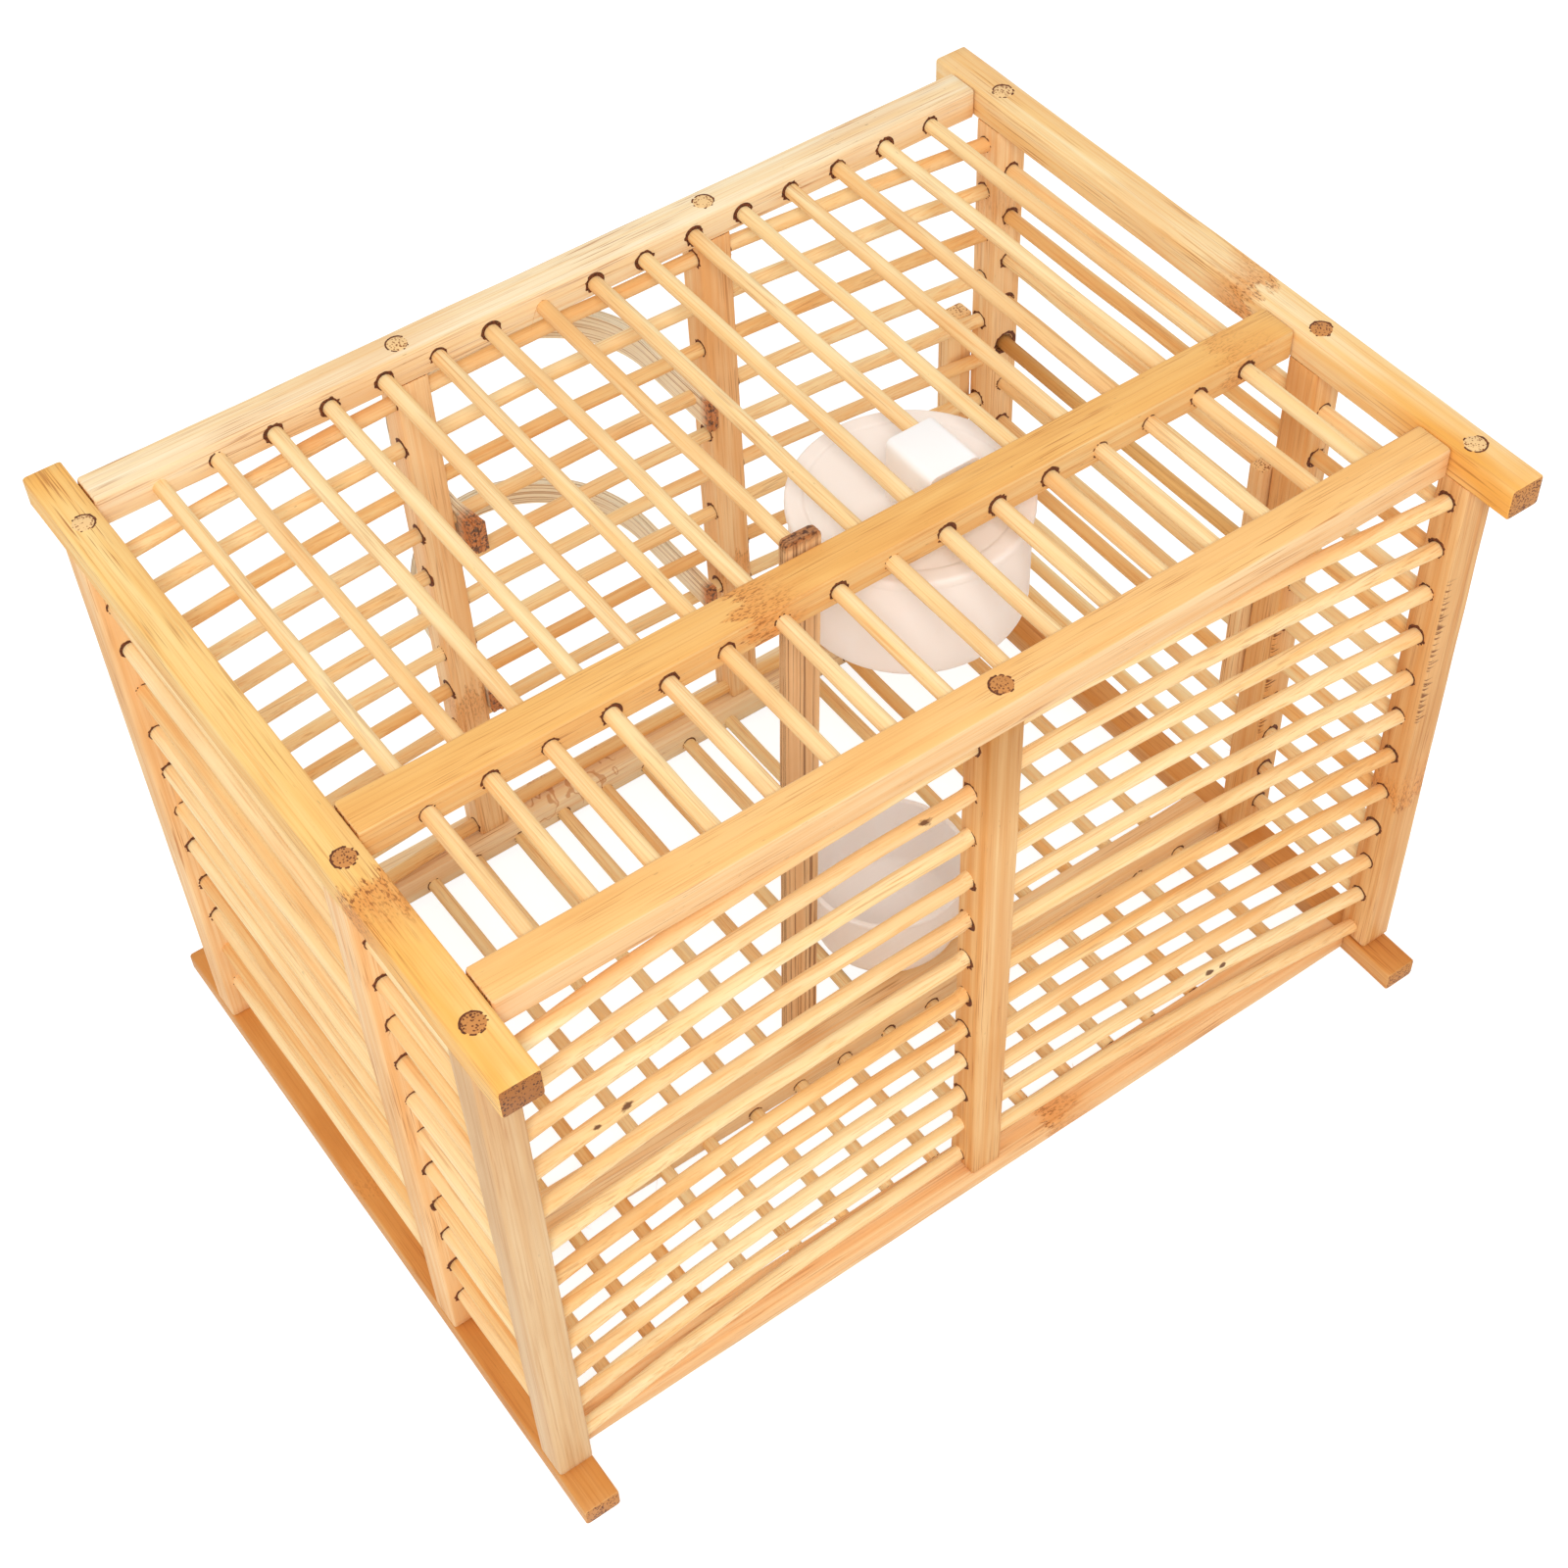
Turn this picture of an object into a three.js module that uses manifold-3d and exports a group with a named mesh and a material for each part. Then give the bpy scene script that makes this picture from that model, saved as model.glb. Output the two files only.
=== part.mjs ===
// A bamboo birdcage. Two end walls stand on foot bars and are joined by six long rails.
// Dowels close the roof, the floor and the four walls, and two plastic feeding cups are inside.
// Lengths are millimetres. +X runs along the cage, +Y from the front wall to the back wall, +Z up.
// Inside the cage group y = 0 is the line of the front corner posts.
import * as THREE from 'three';
import { mergeVertices } from 'three/addons/utils/BufferGeometryUtils.js';
import Module from 'manifold-3d';

const wasm = await Module();
wasm.setup();

// Driving dimensions of the frame
const CAGE_HEIGHT = 260;
const END_WALL_X = 180;
const MIDDLE_ROW_Y = 68.3;
const BACK_ROW_Y = 232;
const BAR_WIDTH = 13.5;
const TOP_BAR_THICKNESS = 12;
const TOP_BAR_FRONT_Y = -22.5;
const BAR_BACK_Y = 262.5;
const FOOT_BAR_THICKNESS = 9;
const FOOT_BAR_FRONT_Y = -21;
const POST_SIDE = 13;
const EDGE_ROUND = 1.2;
const FIT = 0.3;

// Rails, each with its limits across the cage and above the ground
const RAILS = {
  front_top_rail: { y: [2.5, 17], z: [248, 260] },
  middle_top_rail: { y: [73, 88], z: [248, 260] },
  back_top_rail: { y: [239, 252.5], z: [248, 260] },
  front_bottom_rail: { y: [2.5, 18], z: [3, 11] },
  middle_bottom_rail: { y: [73, 89.5], z: [3, 13] },
  back_bottom_rail: { y: [236, 252.5], z: [3, 15.5] },
};
const RAIL_TENON_WIDTH = 8;
const RAIL_TENON_LENGTH = 7;
const TOP_TENON_HEIGHT = 6;
const BOTTOM_TENON_HEIGHT = 3.6;
const BOTTOM_TENON_Z = 5.8;

// Posts of the long walls
const POST_TENON_RADIUS = 3.7;
const POST_TENON_SIDES = 12;
const FRONT_CENTRE_POST_Y = 10;
const BACK_POST_XS = [-61, 60];
const BACK_POST_Y = 245.75;

// Dowels
const DOWEL_RADIUS = 2.75;
const DOWEL_SIDES = 7;
const DOWEL_PITCH = 20.3;
const TOP_DOWEL_FIRST_X = -151.6;
const TOP_DOWEL_Z = 253.25;
const FLOOR_DOWEL_FIRST_X = -153.5;
const FLOOR_DOWEL_Z = 7;
const LONG_DOWELS = 16;
const RAIL_SOCKET_DEPTH = 7.5;
const LEVEL_PITCH = 20;
const WALL_LEVELS = 12;
const FRONT_LEVEL_Z = 237.6;
const BACK_LEVEL_Z = 238.9;
const END_LEVEL_Z = 228.6;
const END_LEVELS = 11;
const FRONT_BOW = 11.5;
const BACK_BOW = 13;
const BOW_STEPS = 5;

// The dowel of the right end wall that is loose in its enlarged hole
const LOOSE_LEVEL = 4;
const LOOSE_HOLE_RADIUS = 4.4;
const LOOSE_SOCKET_Y = 69.5;
const LOOSE_END_Y = 236;

// Hoops bent from laminated bamboo, behind the back wall, with thicker left ends
const UPPER_HOOP = { x: -0.4, halfWidth: 52.9, depth: 51, arcY: 277, legs: [230.5, 232.5], z: [169.3, 183.3] };
const LOWER_HOOP = { x: -4.7, halfWidth: 49.5, depth: 56.7, arcY: 279, legs: [235.8, 230], z: [82, 93.5] };
const HOOP_THICKNESS = 4.2;
const HOOP_END_THICKNESS = 6.2;
const HOOP_END_LENGTH = 14;
const HOOP_SEGMENTS = 8;

// The strip that hangs on a roof dowel behind the middle rails
const STRIP_WIDTH = 14;
const STRIP_THICKNESS = 3.4;
const STRIP_FRONT_Y = 88.5;
const STRIP_TOP_Z = 265;
const STRIP_BOTTOM_Z = 14.2;
const STRIP_DOWEL = 7;
const STRIP_OFF_CENTRE = -1.8;
const STRIP_TILT = 2.1;
const STRIP_CORNER = 3;

// Short battens in the corners of the right end
const OUTER_BATTEN = { x: [162.2, 173.2], y: [236.9, 244.9], z: [47, 160] };
const INNER_BATTEN = { x: [169.8, 176.9], y: [75.1, 82], z: [84, 197] };

// The lidded pot that hangs on a roof dowel, and the bowl on the floor dowels
const POT = { x: 45, y: 109, radius: 39.5, base: 190, rim: 231, wall: 2, corner: 5 };
const LID = { radius: 40.5, base: 231.3, top: 235, crown: 3 };
const HOOK = { y: [90, 113], left: 38, right: 57.5, top: 258.7, tip: 246, thickness: 2.4 };
const BOWL = { x: 34, y: 108, foot: 17, belly: 28, radius: 31, base: 10.1, rim: 55, wall: 2 };
const BOWL_FOOT_HEIGHT = 3.6;
const BOWL_BELLY_HEIGHT = 12;
const CUP_SEGMENTS = 20;

// Materials
function bamboo(color, roughness) {
  return new THREE.MeshStandardMaterial({ color, roughness, metalness: 0 });
}
const PALE_BAMBOO = bamboo(0xedbf7f, 0.55);
const DEEP_BAMBOO = bamboo(0xdf9a4c, 0.5);
const DOWEL_BAMBOO = bamboo(0xefc184, 0.5);
const WEATHERED_BAMBOO = bamboo(0xbd9762, 0.8);
const WHITE_PLASTIC = bamboo(0xf6efe9, 0.35);

// Turns an extrusion so that it runs along the named axis
const RUN_ALONG = {
  x: new THREE.Matrix4().makeBasis(
    new THREE.Vector3(0, 1, 0), new THREE.Vector3(0, 0, 1), new THREE.Vector3(1, 0, 0)),
  y: new THREE.Matrix4().makeBasis(
    new THREE.Vector3(0, 0, 1), new THREE.Vector3(1, 0, 0), new THREE.Vector3(0, 1, 0)),
  z: new THREE.Matrix4(),
};

function solidOf(geometry) {
  const bare = geometry.clone();
  bare.deleteAttribute('normal');
  bare.deleteAttribute('uv');
  const merged = mergeVertices(bare, 1e-4);
  return new wasm.Manifold(new wasm.Mesh({
    numProp: 3,
    vertProperties: new Float32Array(merged.attributes.position.array),
    triVerts: new Uint32Array(merged.index.array),
  }));
}

function meshOf(name, solid, material, place = [0, 0, 0]) {
  const { vertProperties, triVerts } = solid.getMesh();
  const geometry = new THREE.BufferGeometry();
  geometry.setAttribute('position', new THREE.BufferAttribute(vertProperties, 3));
  geometry.setIndex(new THREE.BufferAttribute(triVerts, 1));
  geometry.translate(-place[0], -place[1], -place[2]);
  geometry.computeVertexNormals();
  const mesh = new THREE.Mesh(geometry, material);
  mesh.name = name;
  mesh.position.set(...place);
  return mesh;
}

function cutAll(solid, holes) {
  return holes.reduce((left, hole) => left.subtract(hole), solid);
}

function joinAll(solid, pieces) {
  return pieces.reduce((whole, piece) => whole.add(piece), solid);
}

function around(middle, width) {
  return [middle - width / 2, middle + width / 2];
}

function middleOf(limits) {
  return (limits[0] + limits[1]) / 2;
}

// A straight stick with rounded long edges that fills the given limits
function beam(axis, x, y, z, round = EDGE_ROUND) {
  const [a, b, run] = { x: [y, z, x], y: [z, x, y], z: [x, y, z] }[axis];
  const section = new THREE.Shape();
  section.moveTo(a[0] + round, b[0]);
  section.lineTo(a[1] - round, b[0]);
  section.absarc(a[1] - round, b[0] + round, round, -Math.PI / 2, 0, false);
  section.lineTo(a[1], b[1] - round);
  section.absarc(a[1] - round, b[1] - round, round, 0, Math.PI / 2, false);
  section.lineTo(a[0] + round, b[1]);
  section.absarc(a[0] + round, b[1] - round, round, Math.PI / 2, Math.PI, false);
  section.lineTo(a[0], b[0] + round);
  section.absarc(a[0] + round, b[0] + round, round, Math.PI, Math.PI * 1.5, false);
  const stick = new THREE.ExtrudeGeometry(section, {
    depth: run[1] - run[0],
    bevelEnabled: false,
    curveSegments: 1,
  });
  stick.translate(0, 0, run[0]);
  stick.applyMatrix4(RUN_ALONG[axis]);
  return solidOf(stick);
}

// A square-edged block, for mortises and tenons
function block(x, y, z) {
  const box = new THREE.BoxGeometry(x[1] - x[0], y[1] - y[0], z[1] - z[0]);
  box.translate(middleOf(x), middleOf(y), middleOf(z));
  return solidOf(box);
}

// A straight round rod between two points
function rod(from, to, radius, sides = DOWEL_SIDES) {
  const start = new THREE.Vector3(...from);
  const run = new THREE.Vector3(...to).sub(start);
  const geometry = new THREE.CylinderGeometry(radius, radius, run.length(), sides);
  const up = new THREE.Vector3(0, 1, 0);
  geometry.applyQuaternion(new THREE.Quaternion().setFromUnitVectors(up, run.clone().normalize()));
  geometry.translate(...start.addScaledVector(run, 0.5).toArray());
  return solidOf(geometry);
}

// The centre line of a wall dowel, straight in plan at no bow and deepest at mid length
class BowedLine extends THREE.Curve {
  constructor(wall, z, halfLength) {
    super();
    Object.assign(this, { wall, z, halfLength });
  }

  getPoint(t, target = new THREE.Vector3()) {
    const x = THREE.MathUtils.lerp(-this.halfLength, this.halfLength, t);
    const bow = this.wall.bow * (1 - (x / END_WALL_X) ** 2);
    return target.set(x, this.wall.y + bow, this.z);
  }
}

const FRONT_WALL = { y: 0, bow: FRONT_BOW };
const BACK_WALL = { y: BACK_ROW_Y, bow: BACK_BOW };

function bowedRod(wall, z, halfLength, radius) {
  const section = new THREE.Shape();
  for (let side = 0; side < DOWEL_SIDES; side++) {
    const angle = (side / DOWEL_SIDES) * 2 * Math.PI;
    const point = [radius * Math.cos(angle), radius * Math.sin(angle)];
    if (side === 0) section.moveTo(...point);
    else section.lineTo(...point);
  }
  return solidOf(new THREE.ExtrudeGeometry(section, {
    steps: BOW_STEPS,
    bevelEnabled: false,
    extrudePath: new BowedLine(wall, z, halfLength),
  }));
}

// Dowel places, shared by the pieces that are cut for them
const longDowels = [...Array(LONG_DOWELS).keys()];
const topDowelX = (index) => TOP_DOWEL_FIRST_X + DOWEL_PITCH * index;
const floorDowelX = (index) => FLOOR_DOWEL_FIRST_X + DOWEL_PITCH * index;
const frontLevels = [...Array(WALL_LEVELS).keys()].map((level) => FRONT_LEVEL_Z - LEVEL_PITCH * level);
const backLevels = [...Array(WALL_LEVELS).keys()].map((level) => BACK_LEVEL_Z - LEVEL_PITCH * level);
const endLevels = [...Array(END_LEVELS).keys()].map((level) => END_LEVEL_Z - LEVEL_PITCH * level);
const HOLE_RADIUS = DOWEL_RADIUS + FIT;
const DOWEL_START_Y = RAILS.front_top_rail.y[1] - RAIL_SOCKET_DEPTH;
const TOP_DOWEL_END_Y = RAILS.back_top_rail.y[0] + RAIL_SOCKET_DEPTH;
const FLOOR_DOWEL_END_Y = RAILS.back_bottom_rail.y[0] + RAIL_SOCKET_DEPTH;
const WALL_DOWEL_HALF = END_WALL_X - FIT;
const frontHoles = frontLevels.map((z) => bowedRod(FRONT_WALL, z, END_WALL_X, HOLE_RADIUS));
const backHoles = backLevels.map((z) => bowedRod(BACK_WALL, z, END_WALL_X, HOLE_RADIUS));

function topDowel(index, radius, extra) {
  const x = topDowelX(index);
  return rod([x, DOWEL_START_Y - extra, TOP_DOWEL_Z], [x, TOP_DOWEL_END_Y + extra, TOP_DOWEL_Z], radius);
}

function floorDowel(index, radius, extra) {
  const x = floorDowelX(index);
  return rod(
    [x, DOWEL_START_Y - extra, FLOOR_DOWEL_Z], [x, FLOOR_DOWEL_END_Y + extra, FLOOR_DOWEL_Z], radius);
}

const topHoles = longDowels.map((index) => topDowel(index, HOLE_RADIUS, FIT));
const floorHoles = longDowels.map((index) => floorDowel(index, HOLE_RADIUS, FIT));

// Posts, with a round tenon at each end
function postTenon(x, y, from, to, extra) {
  return rod([x, y, from], [x, y, to], POST_TENON_RADIUS + extra, POST_TENON_SIDES);
}

function post(x, y, base, top, foot, head) {
  const body = beam('z', around(x, POST_SIDE), around(y, POST_SIDE), [base, top]);
  return body.add(postTenon(x, y, foot, head, 0));
}

const END_POST_BASE = FOOT_BAR_THICKNESS + FIT;
const POST_TOP = CAGE_HEIGHT - TOP_BAR_THICKNESS - FIT;

function endPost(x, y) {
  return post(x, y, END_POST_BASE, POST_TOP, 0, CAGE_HEIGHT);
}

// Rails, with a flat tenon at each end
function tenonOf(name, side, extra) {
  const rail = RAILS[name];
  const top = name.includes('top');
  const height = top ? TOP_TENON_HEIGHT : BOTTOM_TENON_HEIGHT;
  const z = top ? middleOf(rail.z) : BOTTOM_TENON_Z;
  const inner = END_WALL_X - BAR_WIDTH / 2 - EDGE_ROUND - FIT;
  const outer = END_WALL_X - BAR_WIDTH / 2 + RAIL_TENON_LENGTH + extra;
  const x = [side * inner, side * outer].sort((a, b) => a - b);
  return block(
    x, around(middleOf(rail.y), RAIL_TENON_WIDTH + 2 * extra), around(z, height + 2 * extra));
}

function rail(name) {
  const { y, z } = RAILS[name];
  const shoulder = END_WALL_X - BAR_WIDTH / 2 - FIT;
  const body = beam('x', [-shoulder, shoulder], y, z);
  return joinAll(body, [tenonOf(name, -1, 0), tenonOf(name, 1, 0)]);
}

// Bars along the depth, which hold the end posts and the rails
function bar(side, y, z, rails) {
  const x = side * END_WALL_X;
  const body = beam('y', around(x, BAR_WIDTH), y, z);
  const tenons = [0, MIDDLE_ROW_Y, BACK_ROW_Y].map((row) => postTenon(x, row, -1, CAGE_HEIGHT + 1, FIT));
  return cutAll(body, [...tenons, ...rails.map((name) => tenonOf(name, side, FIT))]);
}

// End wall dowels, from the front posts through the middle posts to the back posts
function endDowel(x, z, from, to, radius) {
  return rod([x, from, z], [x, to, z], radius);
}

function endHoles(x) {
  return endLevels.map((z) => endDowel(x, z, 0, BACK_ROW_Y, HOLE_RADIUS));
}

const looseZ = endLevels[LOOSE_LEVEL];

function middleEndPost(side) {
  const x = side * END_WALL_X;
  const body = endPost(x, MIDDLE_ROW_Y);
  const dowels = endLevels.map((z) => {
    const stopsHere = side > 0 && z === looseZ;
    return endDowel(x, z, FIT, stopsHere ? LOOSE_SOCKET_Y - 1 : BACK_ROW_Y - FIT, DOWEL_RADIUS);
  });
  const whole = joinAll(body, dowels);
  if (side < 0) return whole;
  return whole.subtract(endDowel(x, looseZ, LOOSE_SOCKET_Y - FIT, BACK_ROW_Y, HOLE_RADIUS));
}

function cornerPost(side, y, wallHoles) {
  const x = side * END_WALL_X;
  return cutAll(endPost(x, y), [...wallHoles, ...endHoles(x)]);
}

function backRightCornerPost() {
  const enlarged = endDowel(
    END_WALL_X, looseZ, BACK_ROW_Y - POST_SIDE, BACK_ROW_Y + POST_SIDE, LOOSE_HOLE_RADIUS);
  return cornerPost(1, BACK_ROW_Y, backHoles).subtract(enlarged);
}

// A hoop lies flat: two legs beside the back posts, and half an ellipse behind them
function hoop({ x, halfWidth, depth, arcY, legs, z }) {
  const [leftEnd, rightEnd] = legs;
  const inner = halfWidth - HOOP_THICKNESS;
  const innerDepth = depth - HOOP_THICKNESS;
  const outline = new THREE.Shape();
  outline.moveTo(-halfWidth, leftEnd);
  outline.lineTo(-halfWidth + HOOP_END_THICKNESS, leftEnd);
  outline.lineTo(-inner, leftEnd + HOOP_END_LENGTH);
  outline.lineTo(-inner, arcY);
  outline.absellipse(0, arcY, inner, innerDepth, Math.PI, 0, true);
  outline.lineTo(inner, rightEnd);
  outline.lineTo(halfWidth, rightEnd);
  outline.lineTo(halfWidth, arcY);
  outline.absellipse(0, arcY, halfWidth, depth, 0, Math.PI, false);
  const band = new THREE.ExtrudeGeometry(outline, {
    depth: z[1] - z[0],
    bevelEnabled: false,
    curveSegments: HOOP_SEGMENTS,
  });
  band.translate(x, 0, z[0]);
  return cutAll(solidOf(band), backHoles);
}

// The strip hangs on a roof dowel, with its lower end a little to the left
function turningStrip() {
  const pivot = topDowelX(STRIP_DOWEL);
  const strip = new THREE.Shape();
  const left = STRIP_OFF_CENTRE - STRIP_WIDTH / 2;
  const right = STRIP_OFF_CENTRE + STRIP_WIDTH / 2;
  const top = STRIP_TOP_Z - TOP_DOWEL_Z;
  const bottom = STRIP_BOTTOM_Z - TOP_DOWEL_Z;
  strip.moveTo(left, bottom);
  strip.lineTo(right, bottom);
  strip.lineTo(right, top - STRIP_CORNER);
  strip.absarc(right - STRIP_CORNER, top - STRIP_CORNER, STRIP_CORNER, 0, Math.PI / 2, false);
  strip.lineTo(left, top);
  const board = new THREE.ExtrudeGeometry(strip, {
    depth: STRIP_THICKNESS,
    bevelEnabled: false,
    curveSegments: 2,
  });
  board.rotateX(Math.PI / 2);
  board.translate(0, STRIP_FRONT_Y + STRIP_THICKNESS, 0);
  board.rotateY(THREE.MathUtils.degToRad(STRIP_TILT));
  board.translate(pivot, 0, TOP_DOWEL_Z);
  return solidOf(board).subtract(topHoles[STRIP_DOWEL]);
}

// Round vessels, turned about their own axis
function turned(profile, x, y) {
  const points = profile.map(([radius, z]) => new THREE.Vector2(radius, z));
  const lathe = new THREE.LatheGeometry(points, CUP_SEGMENTS);
  lathe.rotateX(Math.PI / 2);
  lathe.translate(x, y, 0);
  return solidOf(lathe);
}

function potBody() {
  const { x, y, radius, base, rim, wall, corner } = POT;
  return turned([
    [0, base], [radius - corner, base], [radius - corner * 0.3, base + corner * 0.3],
    [radius, base + corner], [radius, rim], [radius - wall, rim], [radius - wall, base + corner],
    [radius - corner, base + wall], [0, base + wall],
  ], x, y);
}

// The lid is slightly crowned and carries a square hook that straddles the roof dowel
function potLid() {
  const { radius, base, top, crown } = LID;
  const lid = turned([
    [0, base], [radius, base], [radius, top - crown / 2], [radius - crown, top], [0, top],
  ], POT.x, POT.y);
  const { y, left, right, tip, thickness } = HOOK;
  const stem = block([left, left + thickness], y, [top - crown / 2, HOOK.top]);
  const saddle = block([left, right], y, [HOOK.top - thickness, HOOK.top]);
  const lip = block([right - thickness, right], y, [tip, HOOK.top]);
  return joinAll(lid, [stem, saddle, lip]);
}

function floorBowl() {
  const { x, y, foot, belly, radius, base, rim, wall } = BOWL;
  const inside = base + BOWL_FOOT_HEIGHT + wall;
  return turned([
    [0, base], [foot, base], [foot, base + BOWL_FOOT_HEIGHT], [belly, base + BOWL_BELLY_HEIGHT],
    [radius, rim], [radius - wall, rim], [belly - wall, base + BOWL_BELLY_HEIGHT + wall / 2],
    [foot - wall / 2, inside], [0, inside],
  ], x, y);
}

// Assembly
const bars = new THREE.Group();
const topRails = Object.keys(RAILS).filter((name) => name.includes('top'));
const bottomRails = Object.keys(RAILS).filter((name) => name.includes('bottom'));
const TOP_BAR_Z = [CAGE_HEIGHT - TOP_BAR_THICKNESS, CAGE_HEIGHT];
const FOOT_BAR_Z = [0, FOOT_BAR_THICKNESS];
for (const [word, side] of [['left', -1], ['right', 1]]) {
  bars.add(meshOf(
    `${word}_top_bar`, bar(side, [TOP_BAR_FRONT_Y, BAR_BACK_Y], TOP_BAR_Z, topRails), PALE_BAMBOO));
  bars.add(meshOf(
    `${word}_foot_bar`, bar(side, [FOOT_BAR_FRONT_Y, BAR_BACK_Y], FOOT_BAR_Z, bottomRails), DEEP_BAMBOO));
}

const centreTenon = (extra) => [
  postTenon(0, FRONT_CENTRE_POST_Y, RAILS.front_bottom_rail.z[0], CAGE_HEIGHT, extra),
];
const backTenons = (extra) => BACK_POST_XS.map(
  (x) => postTenon(x, BACK_POST_Y, RAILS.back_bottom_rail.z[0], CAGE_HEIGHT, extra));

const rails = new THREE.Group();
const railCuts = {
  front_top_rail: [...topHoles, ...centreTenon(FIT)],
  middle_top_rail: topHoles,
  back_top_rail: [...topHoles, ...backTenons(FIT)],
  front_bottom_rail: [...floorHoles, ...centreTenon(FIT)],
  back_bottom_rail: [...floorHoles, ...backTenons(FIT)],
};
for (const [name, cuts] of Object.entries(railCuts)) {
  const material = name === 'middle_top_rail' ? DEEP_BAMBOO : PALE_BAMBOO;
  rails.add(meshOf(name, cutAll(rail(name), cuts), material));
}
const floorDowels = longDowels.map((index) => floorDowel(index, DOWEL_RADIUS, 0));
rails.add(meshOf('middle_bottom_rail', joinAll(rail('middle_bottom_rail'), floorDowels), DOWEL_BAMBOO));

const posts = new THREE.Group();
posts.add(meshOf('front_left_post', cornerPost(-1, 0, frontHoles), PALE_BAMBOO));
posts.add(meshOf('front_right_post', cornerPost(1, 0, frontHoles), PALE_BAMBOO));
posts.add(meshOf('back_left_post', cornerPost(-1, BACK_ROW_Y, backHoles), PALE_BAMBOO));
posts.add(meshOf('back_right_post', backRightCornerPost(), PALE_BAMBOO));
posts.add(meshOf('middle_left_post', middleEndPost(-1), PALE_BAMBOO));
posts.add(meshOf('middle_right_post', middleEndPost(1), PALE_BAMBOO));

const frontSill = RAILS.front_bottom_rail.z;
const frontCentrePost = post(
  0, FRONT_CENTRE_POST_Y, frontSill[1] + FIT, POST_TOP, frontSill[0], CAGE_HEIGHT);
posts.add(meshOf('front_centre_post', cutAll(frontCentrePost, frontHoles), DEEP_BAMBOO));

const backSill = RAILS.back_bottom_rail.z;
const [backLeft, backRight] = BACK_POST_XS.map(
  (x) => post(x, BACK_POST_Y, backSill[1] + FIT, POST_TOP, backSill[0], CAGE_HEIGHT));
const backDowels = backLevels.map((z) => bowedRod(BACK_WALL, z, WALL_DOWEL_HALF, DOWEL_RADIUS));
posts.add(meshOf('back_wall_left_post', joinAll(backLeft, backDowels), PALE_BAMBOO));
posts.add(meshOf('back_wall_right_post', cutAll(backRight, backHoles), PALE_BAMBOO));

const dowels = new THREE.Group();
const numbered = (name, index) => `${name}_${String(index + 1).padStart(2, '0')}`;
for (const index of longDowels) {
  dowels.add(meshOf(
    numbered('top_dowel', index), topDowel(index, DOWEL_RADIUS, 0), DOWEL_BAMBOO,
    [topDowelX(index), 0, TOP_DOWEL_Z]));
}
frontLevels.forEach((z, index) => {
  dowels.add(meshOf(
    numbered('front_dowel', index), bowedRod(FRONT_WALL, z, WALL_DOWEL_HALF, DOWEL_RADIUS),
    DOWEL_BAMBOO, [0, 0, z]));
});
dowels.add(meshOf(
  'loose_wall_dowel', endDowel(END_WALL_X, looseZ, LOOSE_SOCKET_Y, LOOSE_END_Y, DOWEL_RADIUS),
  DEEP_BAMBOO, [END_WALL_X, LOOSE_SOCKET_Y, looseZ]));

const fittings = new THREE.Group();
for (const [name, shape] of Object.entries({ upper_hoop: UPPER_HOOP, lower_hoop: LOWER_HOOP })) {
  fittings.add(meshOf(name, hoop(shape), WEATHERED_BAMBOO, [shape.x, shape.arcY, shape.z[0]]));
}
for (const [name, limits] of Object.entries({ outer_batten: OUTER_BATTEN, inner_batten: INNER_BATTEN })) {
  fittings.add(meshOf(name, beam('z', limits.x, limits.y, limits.z), PALE_BAMBOO));
}
fittings.add(meshOf(
  'turning_strip', turningStrip(), WEATHERED_BAMBOO, [topDowelX(STRIP_DOWEL), STRIP_FRONT_Y, TOP_DOWEL_Z]));
fittings.add(meshOf('hanging_pot', potBody(), WHITE_PLASTIC, [POT.x, POT.y, POT.base]));
fittings.add(meshOf('pot_lid', potLid(), WHITE_PLASTIC, [POT.x, POT.y, LID.base]));
fittings.add(meshOf('floor_bowl', floorBowl(), WHITE_PLASTIC, [BOWL.x, BOWL.y, BOWL.base]));

// The cage is shifted so that the middle of its whole depth is the origin
const HOOP_BACK_Y = LOWER_HOOP.arcY + LOWER_HOOP.depth;
const birdcage = new THREE.Group();
birdcage.position.y = -(TOP_BAR_FRONT_Y + HOOP_BACK_Y) / 2;
birdcage.add(bars, rails, posts, dowels, fittings);

export default birdcage;
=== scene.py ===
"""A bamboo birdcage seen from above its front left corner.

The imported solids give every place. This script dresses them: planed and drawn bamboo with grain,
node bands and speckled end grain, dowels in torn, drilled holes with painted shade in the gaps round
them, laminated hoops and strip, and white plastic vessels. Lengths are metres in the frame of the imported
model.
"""
import random
from collections import namedtuple
from math import cos, pi, radians, sin, sqrt

import bmesh
import bpy
from mathutils import Matrix, Vector, noise


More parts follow.
